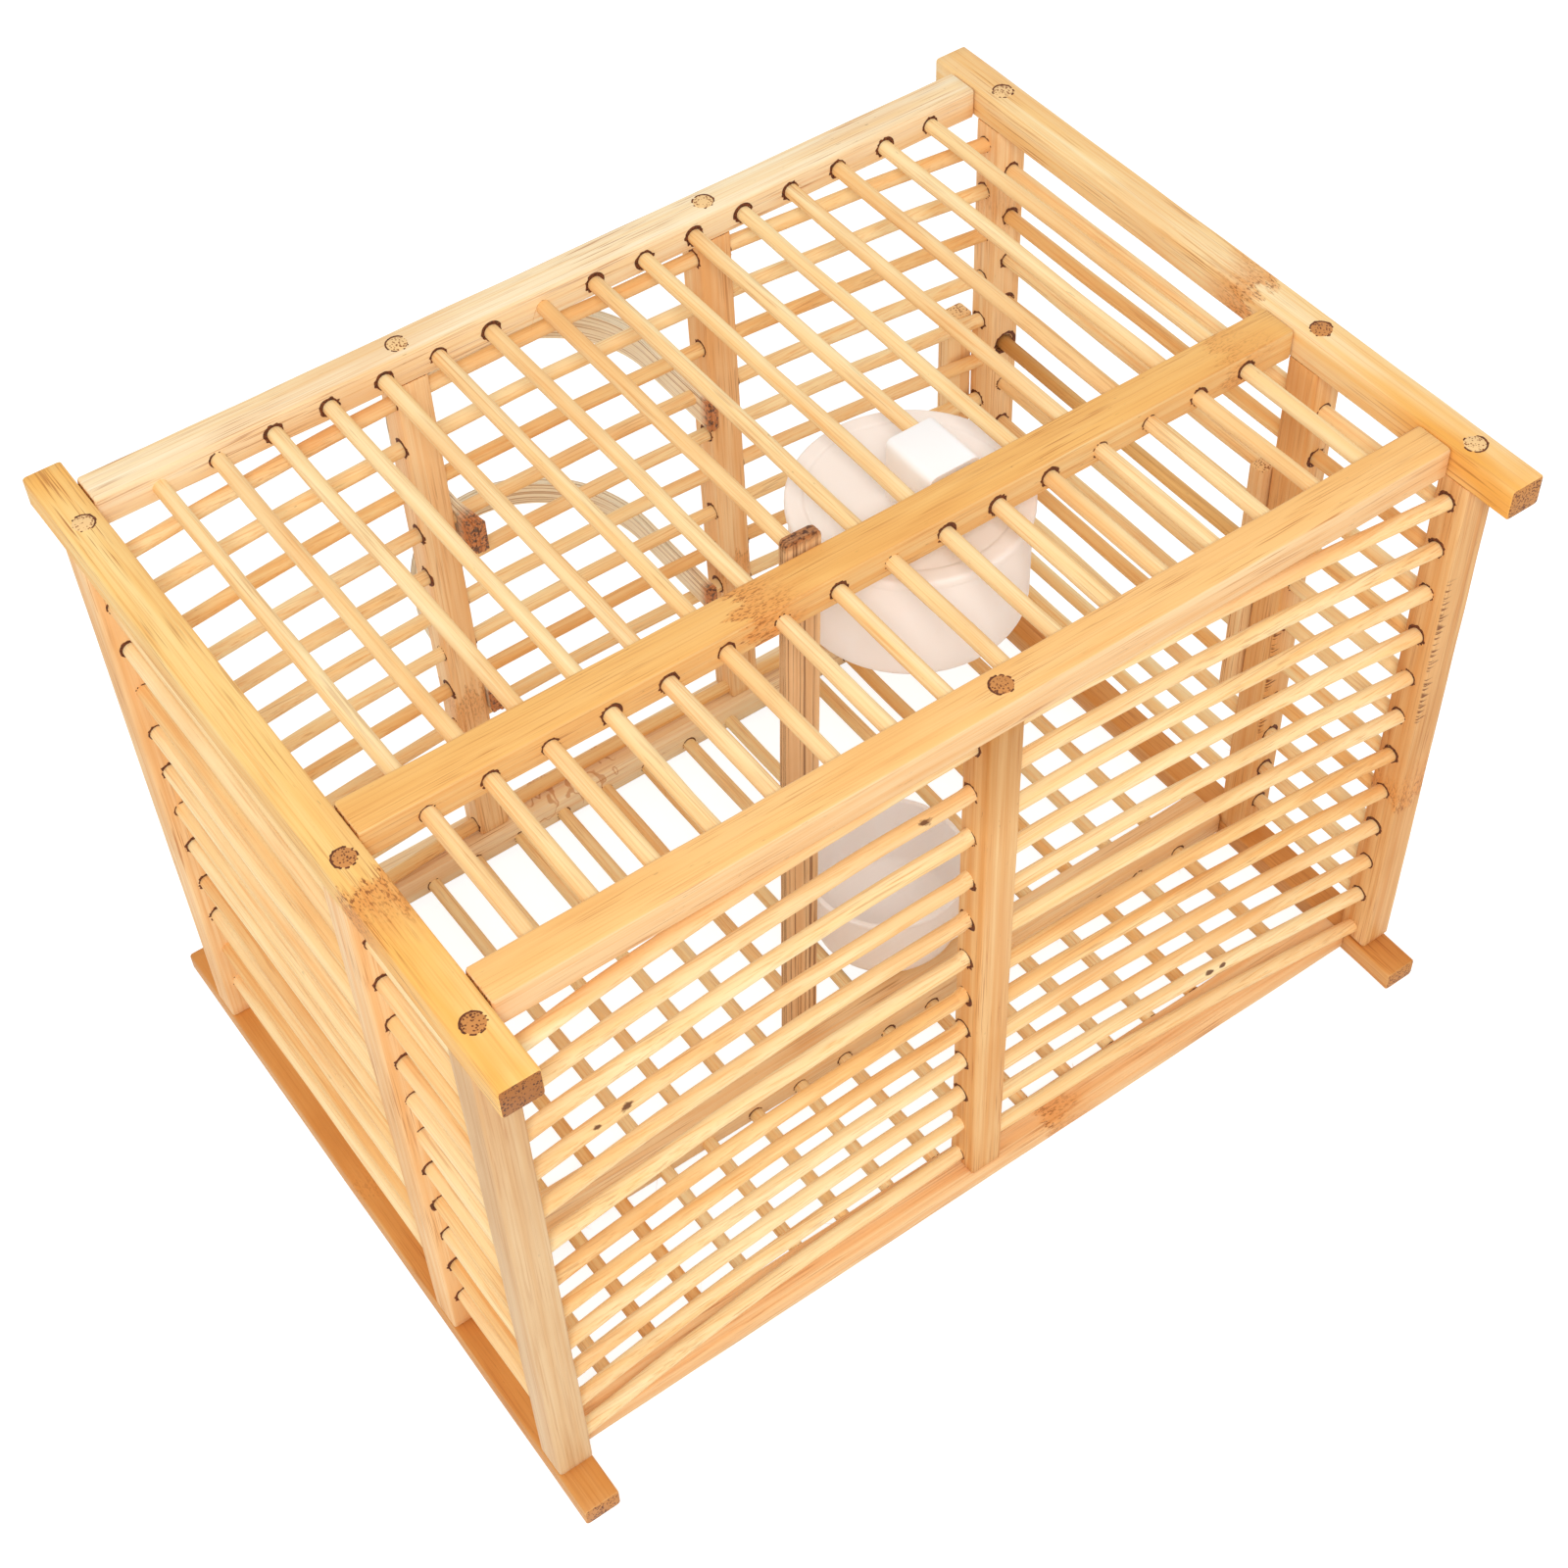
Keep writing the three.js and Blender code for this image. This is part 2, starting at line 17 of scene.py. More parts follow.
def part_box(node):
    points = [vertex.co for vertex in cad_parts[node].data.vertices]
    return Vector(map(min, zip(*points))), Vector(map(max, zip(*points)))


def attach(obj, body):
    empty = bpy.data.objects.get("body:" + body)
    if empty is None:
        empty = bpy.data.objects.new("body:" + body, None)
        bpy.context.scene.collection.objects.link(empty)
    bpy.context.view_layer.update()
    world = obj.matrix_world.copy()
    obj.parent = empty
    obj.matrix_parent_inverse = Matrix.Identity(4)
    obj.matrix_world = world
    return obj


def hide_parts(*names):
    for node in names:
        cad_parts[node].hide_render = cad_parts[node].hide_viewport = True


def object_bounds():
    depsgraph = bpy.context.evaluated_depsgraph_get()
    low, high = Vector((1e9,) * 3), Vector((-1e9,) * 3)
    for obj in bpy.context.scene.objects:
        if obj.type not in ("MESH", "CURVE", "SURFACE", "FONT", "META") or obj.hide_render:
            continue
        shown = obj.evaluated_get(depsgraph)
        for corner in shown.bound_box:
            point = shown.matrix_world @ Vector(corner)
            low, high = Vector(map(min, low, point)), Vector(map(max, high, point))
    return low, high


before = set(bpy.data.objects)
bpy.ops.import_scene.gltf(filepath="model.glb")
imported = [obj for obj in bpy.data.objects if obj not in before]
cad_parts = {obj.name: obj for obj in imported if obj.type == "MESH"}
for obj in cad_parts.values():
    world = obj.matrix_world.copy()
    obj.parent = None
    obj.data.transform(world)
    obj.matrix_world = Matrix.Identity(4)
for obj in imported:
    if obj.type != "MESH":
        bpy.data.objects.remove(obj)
cad_low, cad_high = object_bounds()
MM = 0.001
UP = Vector((0.0, 0.0, 1.0))


def mm(*values):
    return tuple(value * MM for value in values)


def wobble(*place):
    """Smooth noise from -1 to 1 at a place of three numbers."""
    return noise.noise(Vector(place))


# The photograph's camera, in degrees, pixels and metres
PHOTO_WIDTH_PX = 1600
FOCAL_PX = 2642.3
CAMERA_PLACE = Vector((-0.3224, -0.5255, 0.8094))
CAMERA_AZIMUTH = -33.269
CAMERA_ELEVATION = 49.955
CAMERA_ROLL = 2.943
SENSOR_MM = 36.0

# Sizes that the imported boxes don't give by themselves
POST_HALF = 6.5 * MM
FRONT_ROW_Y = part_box("front_left_post")[0].y + POST_HALF
BACK_ROW_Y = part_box("back_left_post")[0].y + POST_HALF
MIDDLE_ROW_Y = FRONT_ROW_Y + 68.3 * MM
END_WALL_X = (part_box("right_top_bar")[0].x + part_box("right_top_bar")[1].x) / 2
INNER_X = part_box("right_top_bar")[0].x
TOP_BAR_LOW_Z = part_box("left_top_bar")[0].z
ROOF_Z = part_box("left_top_bar")[1].z
FOOT_TOP_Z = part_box("left_foot_bar")[1].z
DOWEL_RADIUS = 2.75 * MM
PIN_RADIUS = 3.6 * MM
FRONT_BOW = 11.5 * MM
BACK_BOW = 13.0 * MM
LEVEL_PITCH = 20.0 * MM
DOWEL_PITCH = 20.3 * MM
FRONT_LEVEL_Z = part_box("front_dowel_01")[0].z + DOWEL_RADIUS
BACK_LEVEL_Z = 238.9 * MM
END_LEVEL_Z = 228.6 * MM
WALL_LEVELS = 12
END_LEVELS = 11
LOOSE_LEVEL = 4
LOOSE_Z = END_LEVEL_Z - LOOSE_LEVEL * LEVEL_PITCH
LOOSE_HOLE_RADIUS = 4.3 * MM
LONG_DOWELS = 16
FLOOR_FIRST_X = -153.5 * MM
FLOOR_DOWEL_Z = 7.0 * MM
MIDDLE_SILL_Y = (FRONT_ROW_Y + 73 * MM, FRONT_ROW_Y + 89.5 * MM)
EDGE_ROUND = 1.1 * MM
JOINT_GAP = 0.25 * MM
CORNER_POINTS = 4
STATION_STEP = 5.0 * MM
ROD_SIDES = 14
PIN_SIDES = 28
RAIL_BEVEL = 0.9 * MM
TENON_LENGTH = 3 * MM
TENON_INSET = 3.2 * MM
LAYER_GAP = 0.04 * MM

CENTRE_POST = (0.0, FRONT_ROW_Y + 10 * MM)
CENTRE_PIN = (2.0 * MM, FRONT_ROW_Y + 9.8 * MM)
BACK_POSTS = {
    "back_wall_left_post": (-61 * MM, FRONT_ROW_Y + 245.75 * MM),
    "back_wall_right_post": (60 * MM, FRONT_ROW_Y + 245.75 * MM),
}
END_POSTS = {
    f"{row}_{side}_post": (x, y)
    for row, y in (("front", FRONT_ROW_Y), ("back", BACK_ROW_Y), ("middle", MIDDLE_ROW_Y))
    for side, x in (("left", -END_WALL_X), ("right", END_WALL_X))
}


class Shader:
    """A material's node tree, with short calls for the nodes used here."""

    def __init__(self, name, color):
        self.color = color
        self.material = bpy.data.materials.new(name)
        self.material.use_nodes = True
        self.tree = self.material.node_tree
        self.bsdf = self.tree.nodes["Principled BSDF"]

    def node(self, kind, inputs=None, **settings):
        made = self.tree.nodes.new(kind)
        for key, value in settings.items():
            setattr(made, key, value)
        for key, value in (inputs or {}).items():
            self.feed(made.inputs[key], value)
        return made

    def feed(self, socket, value):
        if isinstance(value, bpy.types.NodeSocket):
            self.tree.links.new(value, socket)
        else:
            socket.default_value = value

    def math(self, operation, first, second=0.0):
        return self.node("ShaderNodeMath", {0: first, 1: second}, operation=operation).outputs[0]

    def times(self, *values):
        product = values[0]
        for value in values[1:]:
            product = self.math("MULTIPLY", product, value)
        return product

    def span(self, value, low, high, to_low=0.0, to_high=1.0):
        made = self.node(
            "ShaderNodeMapRange",
            {"Value": value, "From Min": low, "From Max": high, "To Min": to_low, "To Max": to_high})
        return made.outputs[0]

    def within(self, value, low, high, fade):
        return self.times(self.span(value, low, low + fade), self.span(value, high - fade, high, 1.0, 0.0))

    def mix(self, share, first, second):
        made = self.node("ShaderNodeMix", data_type="RGBA")
        self.feed(made.inputs[0], share)
        self.feed(made.inputs[6], first)
        self.feed(made.inputs[7], second)
        return made.outputs[2]

    def paint(self, share, tone):
        """Lays a tone over the colour so far."""
        self.color = self.mix(share, self.color, tone)

    def coordinate(self, kind="Object"):
        return self.node("ShaderNodeTexCoord").outputs[kind]

    def scaled(self, point, scale, offset=(0, 0, 0)):
        made = self.node("ShaderNodeMapping", {"Vector": point, "Scale": scale, "Location": offset})
        return made.outputs[0]

    def noise(self, point, scale=1.0, detail=2.0, rough=0.5):
        made = self.node(
            "ShaderNodeTexNoise",
            {"Vector": point, "Scale": scale, "Detail": detail, "Roughness": rough})
        return made.outputs["Fac"]

    def grain(self, point, axis, across, along, offset=(0, 0, 0), detail=2.0, rough=0.5):
        scale = tuple(along if name == axis else across for name in "xyz")
        return self.noise(self.scaled(point, scale, offset), 1.0, detail, rough)

    def axis_of(self, vector, axis):
        return self.node("ShaderNodeSeparateXYZ", {0: vector}).outputs["xyz".index(axis)]

    def surface(self, roughness, bump_height=None, bump_size=0.0):
        self.feed(self.bsdf.inputs["Base Color"], self.color)
        self.feed(self.bsdf.inputs["Roughness"], roughness)
        if bump_height is not None:
            bump = self.node(
                "ShaderNodeBump", {"Height": bump_height, "Distance": bump_size, "Strength": 1.0})
            self.feed(self.bsdf.inputs["Normal"], bump.outputs[0])
        return self.material


def rgb(code):
    """A screen colour, written in hexadecimal, as the linear value that a shader takes."""
    def linear(start):
        value = int(code[start:start + 2], 16) / 255
        return value / 12.92 if value <= 0.04045 else ((value + 0.055) / 1.055) ** 2.4
    return (linear(0), linear(2), linear(4), 1.0)


# Tones of the bamboo: pale and warm streaks, deep clouds, and the skin side that faces up
Tones = namedtuple("Tones", "pale warm deep skin", defaults=(None,))


def wood(*codes):
    return Tones(*map(rgb, codes))


LEFT_BAR = wood("fcda94", "f9c978", "e69c4a")
RIGHT_BAR = wood("fee4b2", "fcd28e", "eaa458")
BACK_RAIL = wood("feecc8", "fcdeac", "eaae6c")
MIDDLE_RAIL = wood("f2d094", "edba74", "dc9850", "f4ba68")
FRONT_RAIL = wood("f7d4a2", "f3c288", "e8a45c", "fbc478")
SILL = wood("f8d4a0", "f3bd81", "e6a260")
# Paler than the front sill, to make up for the shade it lies in inside the cage: painted light
MIDDLE_SILL = wood("fde0b2", "fad096", "f2b46e")
FOOT_BAR = wood("e6b474", "d89854", "c27632", "d89044")
PALE_POST = wood("e6c394", "deb17c", "c48e5c")
POST = wood("fad6a2", "f6c284", "e2a05c")
RIGHT_POST = wood("ecbb7e", "de9e5c", "be7a3c")
CENTRE = wood("f0c488", "e5a864", "d6904c")
DOWEL = wood("fee6b2", "fcd494", "eaa256")
DEEP_DOWEL = wood("fad698", "f5be76", "de9248")
LOOSE_DOWEL = wood("f0c47e", "e2aa5e", "b87a32")
BATTEN = wood("fbdeac", "f4c88e", "dc9e5e")

# End grain: ground and the dark bundles in it
BAR_END = (rgb("c98848"), rgb("623014"))
PIN_END = (rgb("f6cc90"), rgb("96582a"))
DARK_PIN_END = (rgb("ce8a4a"), rgb("683416"))
DARK_BAR_END = (rgb("aa6a30"), rgb("502610"))

# What is painted over the tones
GRAIN_BROWN = rgb("ac5e22")
SPOT_BROWN = rgb("46220e")
# Brown laid over a span along a piece: darker towards the top of the centre post and over part of the loose
# dowel
DARKENING_BROWN = rgb("b27430")
BLUSH = rgb("f8b44e")
BAND_ORANGE = rgb("e49648")
BAND_BROWN = rgb("84441a")
MARK_BROWN = rgb("5c2c12")
CHIP_WHITE = rgb("fff8e8")
TOOTH_BROWN = rgb("7a421a")
WATERLINE_BROWN = rgb("c47a38")
CHARRED = rgb("54220c")


def add_band(s, point, axis, place, strength, side):
    """A bamboo node: an orange patch that fades along the grain, with a crowd of short brown dashes."""
    along = s.times(s.math("SUBTRACT", s.axis_of(point, axis), place), side)
    ragged = s.grain(point, axis, 260, 60, (5, 5, 5), 3.0, 0.65)
    reach = s.math("ADD", along, s.span(ragged, 0.3, 0.7, -0.007, 0.007))
    patch = s.times(s.span(reach, -0.002, 0.003), s.span(reach, 0.006, 0.026, 1.0, 0.0))
    crowd = s.times(s.span(reach, -0.0015, 0.0005), s.span(reach, 0.002, 0.019, 1.0, 0.0))
    dashes = s.span(s.grain(point, axis, 1500, 520, rough=0.6), 0.51, 0.6)
    s.paint(s.times(patch, 0.7 * strength), BAND_ORANGE)
    s.paint(s.times(crowd, dashes, 0.72 * strength), BAND_BROWN)


def add_marks(s, point, places, tone):
    """Small ragged marks, drawn out along the piece, each given by its place and reach."""
    for x, y, z, reach in places:
        near = s.scaled(point, (0.5, 1, 1), (-0.5 * x, -y, -z))
        away = s.node("ShaderNodeVectorMath", {0: near}, operation="LENGTH").outputs["Value"]
        rough = s.noise(s.scaled(point, (260, 500, 500)), 1.0, 3.0, 0.6)
        ragged = s.math("ADD", away, s.span(rough, 0.25, 0.75, -0.4 * reach, 0.4 * reach))
        s.paint(s.span(ragged, 0.4 * reach, 0.7 * reach, 0.9, 0.0), tone)


def add_teeth(s, point, normal, teeth):
    """A row of knife marks along a post's inner front corner, like the teeth of a saw."""
    corner_x, low_z, high_z = teeth
    z = s.axis_of(point, "z")
    uneven = s.noise(s.scaled(point, (0, 0, 300), (0, 0, 2)))
    turn = s.math("FRACT", s.math("ADD", s.times(z, 360.0), s.times(uneven, 4.0)))
    reach = s.times(s.span(turn, 0.0, 0.7, 1.0, 0.0), s.span(uneven, 0.35, 0.65, 0.0015, 0.0065))
    beyond = s.math("SUBTRACT", s.math("SUBTRACT", s.axis_of(point, "x"), corner_x), reach)
    inside = s.span(beyond, -0.0012, 0.0002, 1.0, 0.0)
    limits = s.within(z, low_z, high_z, 0.004)
    forward = s.span(s.axis_of(normal, "y"), -0.9, -0.5, 1.0, 0.0)
    s.paint(s.times(inside, limits, forward, 0.9), TOOTH_BROWN)


def add_waterline(s, point, limits):
    """A wavy brown outline where a plane has cut through two layers of the cane."""
    wave = s.noise(s.scaled(point, (120, 70, 70), (3, 3, 3)))
    line = s.span(s.math("ABSOLUTE", s.math("SUBTRACT", wave, 0.52)), 0.008, 0.022, 0.6, 0.0)
    inside = s.within(s.axis_of(point, "x"), *limits, 0.003)
    s.paint(s.times(line, inside), WATERLINE_BROWN)


def bamboo(name, axis, tones, bands=(), spots=(), chips=(), dashes=0.6, specks=0.3, end=BAR_END, stain=None,
           blush=(), teeth=None, waterline=None):
    """Bamboo with its fibres along one axis. A band is a place, a strength and the side it fades to."""
    s = Shader(name, tones.pale)
    point = s.coordinate()
    normal = s.coordinate("Normal")
    fibre = s.grain(point, axis, 1500, 16, detail=3.0, rough=0.6)
    streak = s.grain(point, axis, 300, 5, (3, 1, 2), 3.0, 0.55)
    cloud = s.grain(point, axis, 42, 9, (7, 5, 4), 3.0, 0.6)
    s.paint(s.span(streak, 0.36, 0.64), tones.warm)
    if tones.skin:
        upward = s.span(s.axis_of(normal, "z"), 0.6, 0.9)
        s.paint(s.times(upward, s.span(cloud, 0.2, 0.6, 0.55, 1.0)), tones.skin)
    for start, stop in blush:
        share = s.span(s.axis_of(point, axis), start, stop)
        s.paint(s.times(share, s.span(cloud, 0.3, 0.6)), BLUSH)
    s.paint(s.span(cloud, 0.46, 0.8, 0.0, 0.7), tones.deep)
    s.paint(s.span(fibre, 0.5, 0.74, 0.0, 0.62), tones.deep)
    cluster = s.span(s.grain(point, axis, 70, 22, (9, 2, 6)), 0.42, 0.66)
    dash = s.span(s.grain(point, axis, 1700, 34, (4, 4, 1)), 0.56, 0.64)
    s.paint(s.times(dash, cluster, dashes), GRAIN_BROWN)
    speck = s.span(s.grain(point, axis, 1100, 220, (1, 9, 3)), 0.7, 0.76)
    patch = s.span(s.noise(s.scaled(point, (30, 30, 30), (2, 2, 8))), 0.5, 0.7)
    s.paint(s.times(speck, patch, specks), SPOT_BROWN)
    for place, strength, side in bands:
        add_band(s, point, axis, place, strength, side)
    add_marks(s, point, spots, MARK_BROWN)
    add_marks(s, point, chips, CHIP_WHITE)
    if teeth:
        add_teeth(s, point, normal, teeth)
    if waterline:
        add_waterline(s, point, waterline)
    # A brown darkening that rises over a given span along the piece and holds beyond it
    if stain:
        share = s.span(s.axis_of(point, axis), *stain, 0.0, 0.85)
        s.paint(s.times(share, s.span(streak, 0.3, 0.6, 0.6, 1.0)), DARKENING_BROWN)
    cells = s.node("ShaderNodeTexVoronoi", {"Vector": point, "Scale": 1250.0}).outputs["Distance"]
    face = s.span(s.math("ABSOLUTE", s.axis_of(normal, axis)), 0.8, 0.9)
    ground, bundle = end
    dense = s.span(s.noise(point, 230.0), 0.3, 0.7, -0.12, 0.12)
    end_color = s.mix(s.span(s.math("SUBTRACT", cells, dense), 0.26, 0.46), bundle, ground)
    s.paint(face, end_color)
    s.bsdf.inputs["Specular IOR Level"].default_value = 0.35
    height = s.math("ADD", s.times(fibre, 0.6), s.times(streak, 0.6))
    return s.surface(s.span(cloud, 0.3, 0.7, 0.5, 0.72), height, 0.00018)


def laminated(name, pale, brown, line_brown, end_brown, dark_ends=()):
    """Laminated bamboo with thin brown lines along the piece's own map."""
    s = Shader(name, pale)
    run = s.node("ShaderNodeUVMap").outputs[0]
    line = s.noise(s.scaled(run, (5, 720, 1)))
    broad = s.noise(s.scaled(run, (5, 260, 1), (3, 3, 0)), 1.0, 3.0, 0.6)
    cloud = s.noise(s.coordinate(), 60.0, 3.0, 0.6)
    grit = s.noise(s.coordinate(), 650.0, 2.0, 0.6)
    s.paint(s.span(broad, 0.34, 0.66), brown)
    s.paint(s.span(cloud, 0.5, 0.8, 0.0, 0.5), brown)
    s.paint(s.span(line, 0.52, 0.62, 0.0, 0.8), line_brown)
    for clean, dark_from in dark_ends:
        share = s.span(s.axis_of(run, "x"), clean, dark_from)
        dark = s.mix(s.span(grit, 0.5, 0.6), end_brown, CHARRED)
        s.paint(s.times(share, 0.9), dark)
    height = s.math("SUBTRACT", 1.0, s.span(line, 0.5, 0.7))
    return s.surface(s.span(cloud, 0.3, 0.7, 0.6, 0.8), height, 0.0003)


def torn(name, first, second, scale, detail, rough, roughness, bump):
    """Torn wood, a fine mix of two tones."""
    s = Shader(name, first)
    grit = s.noise(s.coordinate(), scale, detail, rough)
    s.paint(s.span(grit, 0.35, 0.65), second)
    return s.surface(roughness, grit, bump)


def plastic(name):
    """White moulded plastic, a little pink where it is thin."""
    s = Shader(name, rgb("fffaf8"))
    point = s.coordinate()
    cloud = s.noise(point, 22.0)
    scuff = s.noise(s.scaled(point, (300, 300, 60)), 1.0, 3.0, 0.6)
    s.paint(s.span(cloud, 0.35, 0.65), rgb("fef7f3"))
    s.bsdf.inputs["Subsurface Weight"].default_value = 0.15
    s.bsdf.inputs["Subsurface Radius"].default_value = (0.003, 0.002, 0.002)
    s.bsdf.inputs["Subsurface Scale"].default_value = 1.0
    return s.surface(s.span(scuff, 0.3, 0.7, 0.5, 0.62), scuff, 0.00004)


made_materials = {}


def bamboo_for(tones, axis, **look):
    key = (tones, axis, tuple(sorted(look.items())))
    if key not in made_materials:
        made_materials[key] = bamboo(f"bamboo_{len(made_materials) + 1:02d}_{axis}", axis, tones, **look)
    return made_materials[key]


def new_object(name, data):
    """An object in the scene."""
    made = bpy.data.objects.new(name, data)
    bpy.context.scene.collection.objects.link(made)
    return made


def new_mesh(name, points, faces):
    """A mesh with all its faces turned outward."""
    mesh = bpy.data.meshes.new(name)
    mesh.from_pydata(points, [], faces)
    made = bmesh.new()
    made.from_mesh(mesh)
    bmesh.ops.recalc_face_normals(made, faces=made.faces)
    made.to_mesh(mesh)
    made.free()
    return mesh


def finish_mesh(name, mesh, material, body, smooth_angle=40):
    """Links a mesh as a piece that rides on a body, with smooth faces between sharp edges."""
    mesh.validate()
    mesh.shade_smooth()
    mesh.set_sharp_from_angle(angle=radians(smooth_angle))
    mesh.materials.append(material)
    piece = new_object(name, mesh)
    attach(piece, body)
    return piece


def loft(name, rings, uv_of=None):
    """A closed mesh through rings of equally many points, with its two ends capped."""
    count = len(rings[0])
    faces = []
    for row in range(len(rings) - 1):
        for i in range(count):
            j = (i + 1) % count
            faces.append((row * count + i, row * count + j, (row + 1) * count + j, (row + 1) * count + i))
    last = (len(rings) - 1) * count
    faces.append(tuple(reversed(range(count))))
    faces.append(tuple(last + i for i in range(count)))
    mesh = new_mesh(name, [point for ring in rings for point in ring], faces)
    if uv_of:
        layer = mesh.uv_layers.new(name="run")
        for loop in mesh.loops:
            layer.data[loop.index].uv = uv_of(*divmod(loop.vertex_index, count))
    return mesh


def turns(count):
    """Even angles round a circle."""
    return [2 * pi * i / count for i in range(count)]


def rounded_section(low_a, high_a, low_b, high_b, round_by):
    """Points round a rectangle with rounded corners, as pairs."""
    points = []
    corners = ((high_a, high_b, -1, -1), (low_a, high_b, 1, -1), (low_a, low_b, 1, 1), (high_a, low_b, -1, 1))
    for quarter, (a, b, inward_a, inward_b) in enumerate(corners):
        centre = (a + inward_a * round_by, b + inward_b * round_by)
        for step in range(CORNER_POINTS):
            angle = radians(90 * quarter + 90 * step / (CORNER_POINTS - 1))
            points.append((centre[0] + round_by * cos(angle), centre[1] + round_by * sin(angle)))
    return points


# The two cross axes and the run of a stick
ORDER = {"x": (1, 2, 0), "y": (2, 0, 1), "z": (0, 1, 2)}
END_BEVEL = 0.5 * MM


def stick_mesh(name, axis, low, high, seed, wave=0.16 * MM, bevels=(END_BEVEL, END_BEVEL), tenon=0.0):
    """A planed stick inside two corners, a little uneven, with eased ends and optional tenons."""
    a, b, run = ORDER[axis]
    start, stop = low[run], high[run]
    steps = max(4, round((stop - start) / STATION_STEP))
    stations = [(start, bevels[0]), (start + 0.3 * bevels[0], 0.45 * bevels[0]), (start + bevels[0], 0.0)]
    stations += [(start + (stop - start) * i / steps, 0.0) for i in range(1, steps)]
    stations += [(stop - bevels[1], 0.0), (stop - 0.3 * bevels[1], 0.45 * bevels[1]), (stop, bevels[1])]
    if tenon:
        stations = [(start - tenon, TENON_INSET), (start, TENON_INSET), *stations,
                    (stop, TENON_INSET), (stop + tenon, TENON_INSET)]
    rings = []
    for along, shrink in stations:
        inset = [wave * (0.5 + 0.5 * wobble(along * 28, seed * 7.3 + k * 3.1, 0)) + shrink
                 for k in range(4)]
        ring = []
        round_by = EDGE_ROUND * (1 + 0.35 * wobble(along * 40, seed * 5.1, 9))
        for u, v in rounded_section(low[a] + inset[0], high[a] - inset[1], low[b] + inset[2],
                                    high[b] - inset[3], round_by):
            point = Vector((0, 0, 0))
            point[a], point[b], point[run] = u, v, along
            ring.append(point)
        rings.append(ring)
    return loft(name, rings)


def tangent_at(points, row):
    return (points[min(row + 1, len(points) - 1)] - points[max(row - 1, 0)]).normalized()


def rod_mesh(name, points, radius, seed, sides=ROD_SIDES, wave=0.22 * MM):
    """A drawn dowel along points, not quite round or straight."""
    rings = []
    total = len(points)
    for row, point in enumerate(points):
        tangent = tangent_at(points, row)
        side = tangent.cross(UP).normalized()
        up = side.cross(tangent)
        end = row in (0, total - 1)
        fade = min(1.0, row / 4, (total - 1 - row) / 4)
        sway = (side * wobble(row * 0.17, seed * 3.7, 1.0)
                + up * wobble(row * 0.17, seed * 3.7, 5.0)) * 2 * wave * fade
        thick = radius * (1 + 0.03 * wobble(row * 0.1, seed * 8.3, 4.0))
        ring = []
        for i, angle in enumerate(turns(sides)):
            swell = 1 + 0.05 * wobble(row * 0.12, seed * 1.9, i * 0.9)
            reach = thick * swell * (0.86 if end else 1.0)
            ring.append(point + sway + side * (reach * cos(angle)) + up * (reach * sin(angle)))
        rings.append(ring)
    return loft(name, rings)


def straight(start, end, step=8 * MM):
    """Points along a line, with a close pair at each end."""
    run = end - start
    count = max(3, round(run.length / step))
    shares = [0, 0.5 * MM / run.length] + [i / count for i in range(1, count)]
    shares += [1 - 0.5 * MM / run.length, 1]
    return [start + run * share for share in shares]


def along_y(x, z, start, end):
    """Points along the depth of the cage."""
    return straight(Vector((x, start, z)), Vector((x, end, z)))


# Irregular drilling: how far each dowel stands off its even place
def jitter(group, index, reach=0.45 * MM):
    return reach * wobble(index * 1.37 + 0.5, len(group) * 2.1, 3.3) * 2


# How far each front dowel drops where its left half meets the centre post
FRONT_SAG = [drop * MM for drop in (1, 2, 3, 4, 4, 5, 5, 4, 3, 3, 3, 2)]


def front_point(level, x):
    """A place on a front dowel's centre line."""
    drop = 0.0
    if x < 0:
        drop = FRONT_SAG[level] * min(1.0, (x + END_WALL_X) / (END_WALL_X - POST_HALF))
        drop *= min(1.0, -x / POST_HALF)
    z = FRONT_LEVEL_Z - LEVEL_PITCH * level + jitter("front", level) - drop
    return Vector((x, FRONT_ROW_Y + FRONT_BOW * (1 - (x / END_WALL_X) ** 2), z))


def back_point(level, x):
    """A place on a back dowel's centre line."""
    z = BACK_LEVEL_Z - LEVEL_PITCH * level + jitter("backs", level)
    return Vector((x, BACK_ROW_Y + BACK_BOW * (1 - (x / END_WALL_X) ** 2), z))


def end_z(side, level):
    even = END_LEVEL_Z - LEVEL_PITCH * level
    if side > 0 and level == LOOSE_LEVEL:
        return even
    return even + jitter("left" if side < 0 else "right", level)


def stick(node, axis, low, high, tones, seed, slot, look=None, **settings):
    mesh = stick_mesh(f"{node}_wood", axis, low, high, seed, **settings)
    piece = finish_mesh(f"{node}_wood", mesh, bamboo_for(tones, axis, **(look or {})), "cage")
    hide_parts(node)
    return piece


# Bars and rails
def make_bars():
    looks = {
        "left_top_bar": (LEFT_BAR, {
            "bands": ((-0.099, 1.15, -1),), "dashes": 0.9, "blush": ((0.07, 0.1), (-0.09, -0.13)),
            "end": DARK_BAR_END}),
        "right_top_bar": (RIGHT_BAR, {
            "bands": ((-0.063, 1.0, 1),), "blush": ((-0.08, -0.12),),
            "chips": ((171.2 * MM, 37.4 * MM, ROOF_Z, 1.6 * MM),)}),
        "left_foot_bar": (FOOT_BAR, {"bands": ((-0.03, 0.4, 1),), "specks": 0.7}),
        "right_foot_bar": (FOOT_BAR, {"specks": 0.5}),
    }
    for seed, (node, (tones, look)) in enumerate(looks.items()):
        slot = "deep_bamboo" if "foot" in node else "pale_bamboo"
        stick(node, "y", *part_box(node), tones, seed, slot, look)


